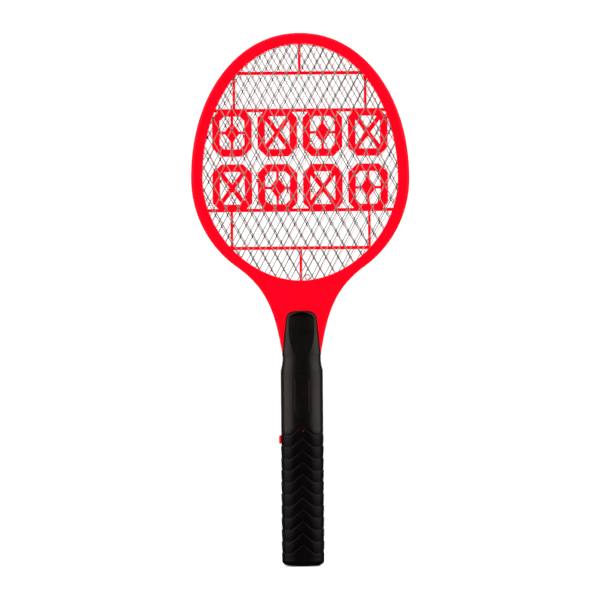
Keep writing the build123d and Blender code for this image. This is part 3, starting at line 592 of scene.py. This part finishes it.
def expanded_metal(name, middle_y, shift, stretch, turn, strand_half_width, tilt, finishes):
    """A sheet of expanded metal: slanting strands that meet four at a time in upright bonds.

    stretch and turn are how far this sheet's pattern departs from the plain one, so that the layers drift
    apart; tilt is 1 or -1, the way in which its strands and bonds slant."""
    vertices, faces, painted_shade_bond_faces = [], [], []
    columns = math.ceil(OPENING_HALF_WIDTH / DIAMOND_WIDTH) + 2
    rows = math.ceil(OPENING_UP / DIAMOND_HEIGHT) * 2 + 4

    def knot(column, row):
        x = (column + 0.5 + row % 2 / 2) * DIAMOND_WIDTH * stretch
        z = row * DIAMOND_HEIGHT / 2 * stretch
        return Vector((x * math.cos(turn) - z * math.sin(turn) + shift[0], middle_y,
                       HEAD_CENTRE_Z + x * math.sin(turn) + z * math.cos(turn) + shift[1]))

    for row in range(-rows, rows + 1):
        for column in range(-columns, columns + 1):
            spot = knot(column, row)
            if inside_opening(spot.x, spot.z, MESH_RIM_INNER):
                first_face = len(faces)
                # The bonds take the sheet's second finish, a darker copy of the strands' one: painted shade.
                add_bond(vertices, faces, spot, strand_half_width * BOND_WIDTH_RATIO, tilt * BOND_LEAN)
                painted_shade_bond_faces += range(first_face, len(faces))
            for side in (-1, 1):
                next_column = column + (row % 2 if side > 0 else row % 2 - 1)
                strand = clip_strand(spot, knot(next_column, row + 1))
                if strand is None:
                    continue
                along = (strand[1] - strand[0]).normalized()
                flat = along.cross(Vector((0, 1, 0))).normalized()
                turned = Matrix.Rotation(side * math.radians(tilt * STRAND_TILT_DEGREES), 3, along)
                across = turned @ (flat * strand_half_width)
                thick = turned @ Vector((0, STRAND_HALF_THICKNESS, 0))
                add_prism(vertices, faces, *strand, across, thick)
    add_rim(vertices, faces, middle_y)
    return finished(name, vertices, faces, painted_shade_bond_faces, finishes)


# ---- Handle sections -----------------------------------------

def section_size(z):
    """The half width and the powers of the handle's section, which narrows to a waist and a tongue."""
    if z <= SHOULDER_START_Z:
        return HANDLE_HALF_WIDTH, HANDLE_POWERS
    if z <= SHOULDER_END_Z:
        share = (z - SHOULDER_START_Z) / (WAIST_Z - SHOULDER_START_Z)
        narrowing = math.sin(min(1.0, share) * math.pi / 2)
        waist = HANDLE_HALF_WIDTH - (HANDLE_HALF_WIDTH - WAIST_HALF_WIDTH) * narrowing
        widening = smooth((z - WAIST_Z) / (SHOULDER_END_Z - WAIST_Z))
        flare = (SHOULDER_HALF_WIDTH - WAIST_HALF_WIDTH) * widening
        blend = smooth((z - SHOULDER_START_Z) / (SHOULDER_END_Z - SHOULDER_START_Z))
        powers = tuple(p + (q - p) * blend for p, q in zip(HANDLE_POWERS, SHOULDER_POWERS))
        return waist + flare, powers
    tongue_share = side_share(underside(z), HANDLE_HALF_DEPTH, SHOULDER_POWERS)
    return tongue_half_width(z) / tongue_share, SHOULDER_POWERS


def side_share(depth, half_depth, powers):
    """The share of a section's half width that is left at a distance from the middle plane."""
    return max(0.0, 1 - (depth / half_depth) ** powers[1]) ** (1 / powers[0])


def front_share(x, half_width, powers):
    """The share of a section's half depth that is left at a distance from its middle."""
    return max(0.0, 1 - (abs(x) / half_width) ** powers[0]) ** (1 / powers[1])


def underside(z):
    """How far the tongue's underside stands from the middle plane, just clear of the red neck."""
    return face_depth(z) + NECK_CLEARANCE


def tongue_half_width(z):
    """Half the width of the tongue where it meets the neck, before its top corners."""
    foot_share = side_share(underside(SHOULDER_END_Z), HANDLE_HALF_DEPTH, SHOULDER_POWERS)
    return SHOULDER_HALF_WIDTH * foot_share - TONGUE_SIDE_SLOPE * (z - SHOULDER_END_Z)


def corner_share(z):
    """How much of the tongue's width is left in its rounded top."""
    t = max(0.0, (z - TONGUE_CORNER_Z) / (TONGUE_TOP_Z - TONGUE_CORNER_Z))
    return max(0.0, 1 - t**TONGUE_CORNER_POWERS[0]) ** (1 / TONGUE_CORNER_POWERS[1])


def tongue_round(x, z):
    """How far the tongue drops at its rounded rim, which is tighter at the sides than at the top."""
    crown = TONGUE_TOP_Z - x * x / TONGUE_TOP_CURVE
    side = tongue_half_width(z) * corner_share(z) - abs(x)
    distance = max(0.0, min(side * TONGUE_RIM_RADIUS / TONGUE_SIDE_RADIUS, crown - z))
    if z < SHOULDER_END_Z or distance >= TONGUE_RIM_RADIUS:
        return 0.0
    drop = TONGUE_RIM_RADIUS - math.sqrt(TONGUE_RIM_RADIUS**2 - (TONGUE_RIM_RADIUS - distance) ** 2)
    return drop * smooth((z - SHOULDER_END_Z) / TONGUE_ROUND_FADE)


# ---- Handle relief -------------------------------------------

def chevron_drop(x):
    """How far a chevron line lies below its apex, from the middle out to the level sides."""
    reach = math.hypot(x, CHEVRON_TIP) - CHEVRON_TIP

    def bend(distance):
        rest = CHEVRON_DROP - CHEVRON_SLOPE * distance
        return 0.5 * (rest + math.hypot(rest, CHEVRON_SOFTNESS))

    rise = CHEVRON_RISE * smooth((abs(x) - CHEVRON_RISE_START) / CHEVRON_RISE_SPAN)
    return bend(0.0) - bend(reach) - rise


def row_warp(s):
    """How much a row follows the chevrons: fully among them, not at all at the butt or the shoulder."""
    lowest = CHEVRON_TOP - (CHEVRONS - 1) * CHEVRON_PITCH
    if s < lowest:
        return max(0.0, s / lowest)
    return 1.0 - smooth((s - CHEVRON_TOP) / CHEVRON_FADE)


def ridge(s):
    """The grip's relief: each ridge swells fast below its line, then slopes back to the next groove."""
    if s > CHEVRON_TOP:
        return -VALLEY_DEPTH * max(0.0, 1 - (s - CHEVRON_TOP) / TOP_VALLEY_SPAN) ** 2
    number = math.floor((CHEVRON_TOP - s) / CHEVRON_PITCH)
    share = (CHEVRON_TOP - s) / CHEVRON_PITCH - number
    if number >= CHEVRONS:
        return 0.0
    swell = math.sqrt(max(0.0, 1 - (1 - min(1.0, share / CREST_SHARE)) ** 2))
    fall = max(0.0, (share - CREST_SHARE) / (1 - CREST_SHARE))
    if number == CHEVRONS - 1:
        left = 1 - smooth(fall * LAST_RIDGE_FALL)
        return swell * RIDGE_HEIGHT * left - (1 - swell) * VALLEY_DEPTH
    drop = (RIDGE_HEIGHT + VALLEY_DEPTH) * fall**RIDGE_FALL_POWER
    return RIDGE_HEIGHT * swell - VALLEY_DEPTH * (1 - swell) - drop


def butt_inset(z):
    """How far the rounded butt draws in."""
    share = max(0.0, 1 - z / BUTT_ROUND_HEIGHT)
    return BUTT_ROUND_WIDTH * (1 - math.sqrt(1 - share**2))


def trim_line(s):
    """The depth of the line down each side of the front, which fades at the tongue and at the butt."""
    top_fade = smooth((SHOULDER_END_Z - s) / TRIM_LINE_FADE_TOP)
    return TRIM_LINE_DEPTH * top_fade * smooth(s / TRIM_LINE_FADE_BUTT)


def oblong_sink(x, z):
    """The depth of the shallow oblong recess on the front."""
    straight = OBLONG_HALF_LENGTH - OBLONG_HALF_WIDTH
    off = max(0.0, abs(z - OBLONG_CENTRE_Z) - straight)
    distance = OBLONG_HALF_WIDTH - math.hypot(x, off)
    return OBLONG_DEPTH * smooth(distance / OBLONG_RAMP)


def scoop_reach(z):
    """Half the width of the thumb scoop, a U that opens out upwards from its foot."""
    share = min(1.0, max(0.0, (z - SCOOP_FOOT_Z) / (SCOOP_WIDE_Z - SCOOP_FOOT_Z)))
    return SCOOP_HALF_WIDTH * (1 - (1 - share) ** 2) ** SCOOP_U_POWER


def scoop_sink(x, z, front_y):
    """How much the scoop takes off the front where the surface stands at front_y from the middle plane.

    Its bulging floor meets the rounded front along the U and climbs back to a rim at the tongue's top."""
    reach = scoop_reach(z)
    top = SCOOP_TOP_Z - x * x / SCOOP_TOP_CURVE - z
    side = SCOOP_HALF_WIDTH + SCOOP_SIDE_MARGIN - abs(x)
    if reach == 0.0 or top <= 0 or side <= 0:
        return 0.0
    depth = HANDLE_HALF_DEPTH * (1 - front_share(reach, *section_size(z)))
    floor_y = HANDLE_HALF_DEPTH - depth * (1 - SCOOP_BULGE * (1 - (x / reach) ** 2))
    return max(0.0, front_y - floor_y) * smooth(top / SCOOP_TOP_RAMP) * smooth(side / SCOOP_SIDE_RAMP)


# ---- Handle mouldings ----------------------------------------

def shell_columns():
    """Shares of the tongue's width, from 1 to -1, closer together towards the edges."""
    count, crowding = 46, 0.35
    right = []
    for i in range(count):
        even = 1 - i / count
        right.append(math.sin(math.pi / 2 * even) * crowding + even * (1 - crowding))
    return right + [0.0] + [-share for share in reversed(right)]


def shell_rows(low, high):
    """Heights of the rows, close together at the chevron lines and in the tongue's rounded top."""
    rows = [0.0, 0.15 * MM, 0.5 * MM, 1.1 * MM, 2.0 * MM, 3.0 * MM, 4.2 * MM, 6.0 * MM]
    steps = (-0.985, -0.95, -0.88, -0.78, -0.66, -0.54, -0.43, -0.33, -0.24, -0.17, -0.11, -0.07, -0.04,
             -0.018, 0.0)
    for i in range(CHEVRONS):
        line = CHEVRON_TOP - i * CHEVRON_PITCH
        rows += [line + step * CHEVRON_PITCH for step in steps]
    rows += spread(CHEVRON_TOP, SHOULDER_START_Z, 76)[1:]
    rows += spread(SHOULDER_START_Z, SHOULDER_END_Z, 36)[1:]
    rows += spread(SHOULDER_END_Z, TONGUE_CORNER_Z, 60)[1:]
    height, count = TONGUE_TOP_Z - TONGUE_CORNER_Z, 44
    rows += [TONGUE_CORNER_Z + height * math.sin(math.pi / 2 * i / count) for i in range(1, count)]
    least_gap = 0.05 * MM
    kept = [s for s in sorted(set(rows)) if low + least_gap < s < high - least_gap]
    return [low] + kept + [high]


def section_points(z, relief, inset=0.0):
    """Half a section, from its right edge round the front to its left, as (x, depth) pairs.

    The middle columns span the tongue's width; the side rows run from there back to the middle plane."""
    half_width, powers = section_size(z)
    half_width += SIDE_RELIEF_SHARE * relief - inset
    half_depth = HANDLE_HALF_DEPTH + relief - inset
    edge_depth = underside(z) - inset * EDGE_INSET_SHARE
    edge_x = half_width * side_share(edge_depth, half_depth, powers)
    side = []
    for share in SIDE_ROWS:
        depth = edge_depth * share
        side.append((half_width * side_share(depth, half_depth, powers), depth))
    middle = []
    for share in shell_columns():
        x = edge_x * share
        middle.append((x, half_depth * front_share(x, half_width, powers)))
    return side + middle + [(-x, depth) for x, depth in reversed(side)]


def skin_points(s, carved):
    """A row of the outer skin as (x, depth, z), with the grip, the rounded butt and what the front has."""
    outline = section_points(s, ridge(s))
    last = len(outline) - 1
    warp = row_warp(s)
    points = []
    for k, (x, depth) in enumerate(outline):
        z = s - warp * chevron_drop(x)
        inset = butt_inset(z)
        if inset:
            x *= 1 - inset / HANDLE_HALF_WIDTH
            depth *= 1 - inset / HANDLE_HALF_DEPTH
        if k in (0, last):
            x -= math.copysign(PARTING_INSET, x)
        if carved and k in (EDGE, last - EDGE) and s < SHOULDER_END_Z:
            trim = trim_line(s)
            x -= math.copysign(trim, x)
            depth -= TRIM_LINE_FRONT_SHARE * trim
        x *= corner_share(s)
        if carved:
            depth -= oblong_sink(x, z) + scoop_sink(x, z, depth)
        points.append((x, depth - tongue_round(x, z), z))
    return points


def wall_points(s, reaches_butt):
    """A row of the wall's inside as (x, depth, z), which stays level at the floor of a closed butt."""
    wall_s = max(s, FLOOR)
    level = reaches_butt and s <= FLOOR
    warp = row_warp(s)
    points = []
    for x, depth in section_points(wall_s, 0.0, inset=WALL):
        z = wall_s if level else s - warp * chevron_drop(x)
        points.append((x, depth, max(z, FLOOR)))
    return points


def add_strip(faces, low, high):
    """Quads between two rows of vertices, seen from outside."""
    for k in range(len(low) - 1):
        faces.append((low[k], low[k + 1], high[k + 1], high[k]))


def add_back_strip(faces, low, high):
    """Quads between two rows of vertices, seen from inside."""
    for k in range(len(low) - 1):
        faces.append((low[k], high[k], high[k + 1], low[k + 1]))


def finished(name, vertices, faces, second_faces, finishes):
    """A new object with two finishes, the second one on the listed faces."""
    obj = new_object(name, vertices, faces)
    for material in finishes:
        obj.data.materials.append(material)
    for face in second_faces:
        obj.data.polygons[face].material_index = 1
    return obj


def handle_skin(name, side, low, high, carved, finishes):
    """A closed moulding between two heights: its skin, its wall and, if it reaches that far, its tongue.

    side is -1 for the front and 1 for the rear; carved adds the front's scoop, oblong and trim line."""
    vertices, faces, grip_faces = [], [], []

    def add(x, depth, z):
        vertices.append((x, side * depth, z))
        return len(vertices) - 1

    reaches_butt = low == 0.0
    heights = shell_rows(low, high)
    outer, inner, tongue, under = [], [], [], []
    for s in heights:
        points = skin_points(s, carved)
        if s <= SHOULDER_END_Z + SAME_HEIGHT:
            outer.append([add(*point) for point in points])
            inner.append([add(*point) for point in wall_points(s, reaches_butt)])
            continue
        points = points[EDGE:-EDGE]
        for end in (0, -1):
            points[end] = (points[end][0], underside(s), points[end][2])
        row = [add(*point) for point in points]
        tongue.append(row)
        under.append([row[0]] + [add(x, underside(s), s) for x, _, _ in points[1:-1]] + [row[-1]])

    first_wall = max(i for i, s in enumerate(heights) if s <= FLOOR) if reaches_butt else 0
    for i in range(len(inner) - 1):
        if heights[i + 1] <= GRIP_TOP_Z:
            grip_faces += range(len(faces), len(faces) + len(outer[i]) - 1)
        add_strip(faces, outer[i], outer[i + 1])
        if i < first_wall:
            continue
        add_back_strip(faces, inner[i], inner[i + 1])
        for end in (0, -1):
            faces.append((outer[i][end], outer[i + 1][end], inner[i + 1][end], inner[i][end]))
    if reaches_butt:
        floor = inner[first_wall]
        faces.append(tuple(outer[0]))
        faces.append(tuple(floor))
        right = [row[0] for row in outer[:first_wall + 1]]
        left = [row[-1] for row in reversed(outer[:first_wall + 1])]
        faces.append(tuple(right + [floor[0], floor[-1]] + left))
    else:
        add_back_strip(faces, outer[0], inner[0])
    if not tongue:
        add_strip(faces, outer[-1], inner[-1])
        return finished(name, vertices, faces, grip_faces, finishes)

    below = outer[-1][EDGE:-EDGE]
    shelf = [add(vertices[i][0], underside(SHOULDER_END_Z), SHOULDER_END_Z) for i in below[1:-1]]
    below_under = [below[0]] + shelf + [below[-1]]
    add_strip(faces, outer[-1][:EDGE + 1], inner[-1][:EDGE + 1])
    add_strip(faces, inner[-1][EDGE:-EDGE], below_under)
    add_strip(faces, outer[-1][-EDGE - 1:], inner[-1][-EDGE - 1:])
    for row, line in zip(tongue, under):
        add_strip(faces, below, row)
        add_back_strip(faces, below_under, line)
        below, below_under = row, line
    add_strip(faces, below, below_under)
    return finished(name, vertices, faces, grip_faces, finishes)


# ---- Handle fittings -----------------------------------------

def mm(*values):
    """Values given in millimetres."""
    return [value * MM for value in values]


def cylinder_y(x, z, radius, low_y, high_y, sides=40):
    """A closed cylinder along Y."""
    vertices, faces = [], []
    for y in (low_y, high_y):
        for i in range(sides):
            turn = 2 * math.pi * i / sides
            vertices.append((x + radius * math.cos(turn), y, z + radius * math.sin(turn)))
    for i in range(sides):
        j = (i + 1) % sides
        faces.append((i, j, sides + j, sides + i))
    faces.append(tuple(range(sides)))
    faces.append(tuple(range(2 * sides - 1, sides - 1, -1)))
    return new_object("cutter", vertices, faces)


def rounded_block(name, low, high, radius, segments=4):
    """A closed box with rounded edges."""
    obj = new_object(name, [], [])
    shape = bmesh.new()
    bmesh.ops.create_cube(shape, size=1.0)
    size = Vector(high) - Vector(low)
    bmesh.ops.scale(shape, vec=size, verts=shape.verts)
    bmesh.ops.translate(shape, vec=(Vector(low) + Vector(high)) / 2, verts=shape.verts)
    edges = list(shape.edges)
    bmesh.ops.bevel(shape, geom=edges, offset=radius, segments=segments, profile=0.5, affect="EDGES")
    shape.to_mesh(obj.data)
    shape.free()
    obj.data.shade_smooth()
    obj.data.set_sharp_from_angle(angle=math.radians(50))
    return obj


def join(parts):
    """Joins several objects into the first."""
    shape = bmesh.new()
    for part in parts:
        shape.from_mesh(part.data)
    shape.to_mesh(parts[0].data)
    shape.free()
    for part in parts[1:]:
        bpy.data.objects.remove(part, do_unlink=True)
    return parts[0]


def button_cutter():
    """The slot that the button slides in, open to the handle's left side."""
    gap = Vector((0, SLOT_CLEARANCE, SLOT_CLEARANCE))
    low = Vector((button_low.x - 2 * MM, -SLOT_HALF_DEPTH, SLOT_LOW_Z)) - gap
    high = Vector((SLOT_INNER_X, SLOT_HALF_DEPTH, SLOT_HIGH_Z)) + gap
    return rounded_block("cutter", low, high, SLOT_CORNER_RADIUS)


def screw_cup(x, z, seat_y):
    """The recess of a screw: a tube with a floor, whose mouth follows the middle of the rounded wall."""
    outer_radius, floor = 4.2 * MM, 1.2 * MM
    cup = cylinder_y(x, z, outer_radius, seat_y - floor, HANDLE_HALF_DEPTH)
    cut(cup, [cylinder_y(x, z, SCREW_RECESS_RADIUS, seat_y, HANDLE_HALF_DEPTH + 2 * MM)])
    for vertex in cup.data.vertices:
        if vertex.co.y > HANDLE_HALF_DEPTH - 0.1 * MM:
            skin = HANDLE_HALF_DEPTH * front_share(vertex.co.x, HANDLE_HALF_WIDTH, HANDLE_POWERS)
            vertex.co.y = skin - WALL / 2
    cup.name = "screw_cup"
    return cup


def bay_fittings():
    """The front shell's inside that shows when the door is off: cradle ribs, end wall and contact posts."""
    parts = []
    for z in (18.0, 44.0):
        for x_low, x_high in ((-15.4, -14.5), (-0.6, 0.6), (14.5, 15.4)):
            parts.append(rounded_block("rib", mm(x_low, -6, z), mm(x_high, -2.8, z + 2), 0.2 * MM, 2))
    parts.append(rounded_block("wall", mm(-14.2, -9.5, 58.6), mm(14.2, 5.0, 60.6), 0.3 * MM, 2))
    for x in (-9.0, 0.0, 9.0):
        parts.append(rounded_block("post", mm(x - 1, -10, 2.2), mm(x + 1, -1, 4.6), 0.2 * MM, 2))
    return parts


def door_rails():
    """The rail along each side of the door: a web across the parting plane, its hook and its root."""
    web, hook, root = (14.7, 15.5, -2.2, 3.5), (15.3, 16.4, -2.2, -1.4), (14.7, 16.3, 0.6, 3.5)
    rails = []
    for way in (-1, 1):
        for x_near, x_far, y_low, y_high in (web, hook, root):
            x_low, x_high = sorted((way * x_near, way * x_far))
            low, high = mm(x_low, y_low, 6), mm(x_high, y_high, 58)
            rails.append(rounded_block("rail", low, high, 0.15 * MM, 2))
    return rails


def lamp_centre():
    """The lamp sits just below the top chevron, a little to the right of the middle."""
    return (lamp_low.x + lamp_high.x) / 2 + LAMP_SHIFT_X, (lamp_low.z + lamp_high.z) / 2 + LAMP_SHIFT_Z


def make_handle(materials):
    """The front shell with its tongue, the rear shell above the door and the door itself."""
    split = CHEVRON_TOP - DOOR_CHEVRON * CHEVRON_PITCH
    tongue_end = TONGUE_TOP_Z - TONGUE_SHORT
    finishes = (materials["black"], materials["grip"])
    front = handle_skin("front_shell_moulding", -1, 0.0, tongue_end, True, finishes)
    cut(front, [button_cutter(), cylinder_y(*lamp_centre(), LAMP_HOLE_RADIUS, -20 * MM, -8 * MM)])
    front = join([front] + bay_fittings())
    place(front, "racket", "front_shell", "black_plastic")

    rear = handle_skin("rear_shell_moulding", 1, split + DOOR_GAP, tongue_end, False, finishes)
    wells = [cylinder_y(x, z, SCREW_RECESS_RADIUS, 4 * MM, 20 * MM) for x, z, _ in SCREWS]
    cut(rear, [button_cutter()] + wells)
    rear = join([rear] + [screw_cup(*spot) for spot in SCREWS])
    place(rear, "racket", "rear_shell", "black_plastic")

    door = handle_skin("battery_door_moulding", 1, 0.0, split - DOOR_GAP, False, finishes)
    door = join([door] + door_rails())
    place(door, "door", "battery_door", "black_plastic")


def make_lamp(materials):
    """The round lamp in its hole: a flange, a barrel and a dome turned about one axis."""
    x, z = lamp_centre()
    dome_y = lamp_low.y + LAMP_RADIUS
    flange_y = lamp_high.y - LAMP_FLANGE_HEIGHT
    flange_radius = (lamp_high.x - lamp_low.x) / 2
    rings = [(flange_radius, lamp_high.y), (flange_radius, flange_y), (LAMP_RADIUS, flange_y)]
    for t in spread(0.0, math.pi / 2, 10)[:-1]:
        rings.append((LAMP_RADIUS * math.cos(t), dome_y - LAMP_RADIUS * math.sin(t)))
    vertices, faces = [], []
    sides = 32
    for r, y in rings:
        for i in range(sides):
            turn = 2 * math.pi * i / sides
            vertices.append((x + r * math.cos(turn), y, z + r * math.sin(turn)))
    add_stack(faces, 0, sides, len(rings))
    lamp = new_object("lamp_lens", vertices, faces)
    place(lamp, "racket", "indicator_led", "lamp_resin", materials["lamp"])


# ---- Assembly ------------------------------------------------

def make_head(materials):
    """The two red halves and the three layers of mesh between them."""
    for node, side in (("front_frame", -1), ("rear_frame", 1)):
        half = frame_half(node + "_moulding", side)
        place(half, "racket", node, "red_plastic", materials["red"])
    # The node, and its pattern's shift in x and z, stretch, turn, half strand width and way of tilt.
    layers = (
        ("front_mesh", (-0.9 * MM, 3.4 * MM), 1.0, 0.0, 0.38 * MM, 1.0),
        ("centre_mesh", (-0.7 * MM, -0.9 * MM), 0.994, 0.018, 0.31 * MM, -1.0),
        ("rear_mesh", (1.6 * MM, 0.0), 1.004, -0.006, 0.26 * MM, 1.0),
    )
    for node, *pattern in layers:
        low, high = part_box(node)
        # The second finish goes on the bonds. It is a darker copy of the first: painted shade.
        finishes = (materials[node], materials[node + "_knots_painted_shade"])
        sheet = expanded_metal(node + "_strands", (low.y + high.y) / 2, *pattern, finishes)
        place(sheet, "racket", node, "mesh_metal")


def finish_cad_nodes(materials):
    """Gives every CAD node that still shows its own finish, and the moulded ones softened edges."""
    slots = {entry["node"]: entry["material_slot"] for entry in frame["record"]["subparts"]}
    by_slot = {"red_plastic": "red", "button_plastic": "button", "lamp_resin": "lamp",
               "mesh_metal": "front_mesh", "black_plastic": "black"}
    for node, obj in frame["nodes"].items():
        slot = slots[node]
        if slot == "cell_case":
            low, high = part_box(node)
            material = cell_sleeve(node + "_sleeve", low.z, high.z, node == "left_cell")
        else:
            material = materials[by_slot.get(slot, slot)]
        obj.data.materials.clear()
        obj.data.materials.append(material)
    soften = {"brick_grille": 0.25, "rear_spacer": 0.2, "power_button": 0.15}
    for node, width in soften.items():
        bevel = frame["nodes"][node].modifiers.new("soft_edges", "BEVEL")
        bevel.width = width * MM
        bevel.segments = 2
        bevel.limit_method = "ANGLE"
        bevel.harden_normals = True
        bevel.angle_limit = math.radians(50)


# ---- Stage, light and camera ---------------------------------

def make_stage():
    """A round white floor just under the butt, which doesn't show in reflections."""
    radius, drop, sides = 0.24, 0.0002, 64
    turns = [2 * math.pi * i / sides for i in range(sides)]
    ring = [(radius * math.cos(turn), radius * math.sin(turn), -drop) for turn in turns]
    floor = new_object("studio_floor", ring, [tuple(range(sides))])
    floor.data.materials.append(surface("studio_floor", (0.92, 0.92, 0.92), (0.6, 0.8), specular=0.1,
                                        variation=0.02, patch=0.4, grain=0.01, grain_bump=0.02))
    floor.visible_glossy = False


def make_world():
    """White to the eye, but a dim surround to light by, so that dark plastic stays dark."""
    seen_strength, lighting_strength = 1.1, 0.07
    world = bpy.data.worlds.new("studio")
    bpy.context.scene.world = world
    world.use_nodes = True
    tree = world.node_tree
    tree.nodes.clear()
    shades = []
    for strength in (lighting_strength, seen_strength):
        shade = tree.nodes.new("ShaderNodeBackground")
        shade.inputs["Color"].default_value = (1, 1, 1, 1)
        shade.inputs["Strength"].default_value = strength
        shades.append(shade.outputs["Background"])
    path = tree.nodes.new("ShaderNodeLightPath")
    mix = tree.nodes.new("ShaderNodeMixShader")
    tree.links.new(path.outputs["Is Camera Ray"], mix.inputs["Fac"])
    tree.links.new(shades[0], mix.inputs[1])
    tree.links.new(shades[1], mix.inputs[2])
    output = tree.nodes.new("ShaderNodeOutputWorld")
    tree.links.new(mix.outputs["Shader"], output.inputs["Surface"])


def add_softbox(name, azimuth, distance, width, height, centre_z, power, elevation=0.0):
    """An area light aimed at the object. Azimuth 0 is in front of it, 90 to its right."""
    data = bpy.data.lights.new(name, "AREA")
    data.shape = "RECTANGLE"
    data.size = width
    data.size_y = height
    data.energy = power
    light = bpy.data.objects.new(name, data)
    bpy.context.collection.objects.link(light)
    a, e = math.radians(azimuth), math.radians(elevation)
    offset = Vector((math.sin(a) * math.cos(e), -math.cos(a) * math.cos(e), math.sin(e))) * distance
    light.location = Vector((0, 0, centre_z)) + offset
    light.rotation_mode = "QUATERNION"
    light.rotation_quaternion = (-offset).to_track_quat("-Z", "Y")
    light.visible_camera = False


def make_lights():
    """A large softbox at each side of the front, one behind, one overhead and a narrow one high in front."""
    middle = cad_box[1].z / 2
    for azimuth in (-62, 62):
        add_softbox(f"softbox_{azimuth}", azimuth, 1.9, 2.4, 1.9, middle + 0.45, power=72)
    add_softbox("rear_softbox", 180, 1.9, 1.4, 1.8, middle + 0.2, power=45)
    add_softbox("overhead", 0, 2.2, 2.4, 2.4, middle, power=50, elevation=89)
    add_softbox("front_top", 0, 2.2, 1.6, 0.7, middle, power=26, elevation=74)


def make_camera():
    """Level and far in front of the object's middle, rolled by the half degree that the object leans."""
    distance, picture_height = 4.0, 0.507
    centre_x, centre_z = -0.0010, 0.2246
    roll = 0.00805
    data = bpy.data.cameras.new("camera")
    data.sensor_width = 36.0
    data.lens = data.sensor_width * distance / picture_height
    data.clip_start = 0.05
    data.clip_end = 50
    camera = bpy.data.objects.new("camera", data)
    bpy.context.collection.objects.link(camera)
    camera.location = (centre_x, -distance, centre_z)
    camera.rotation_euler = (math.pi / 2, roll, 0)
    bpy.context.scene.camera = camera
    bpy.context.scene.view_settings.view_transform = "Standard"


def main():
    materials = make_materials()
    make_head(materials)
    make_handle(materials)
    make_lamp(materials)
    finish_cad_nodes(materials)
    make_stage()
    make_world()
    make_lights()
    make_camera()


main()
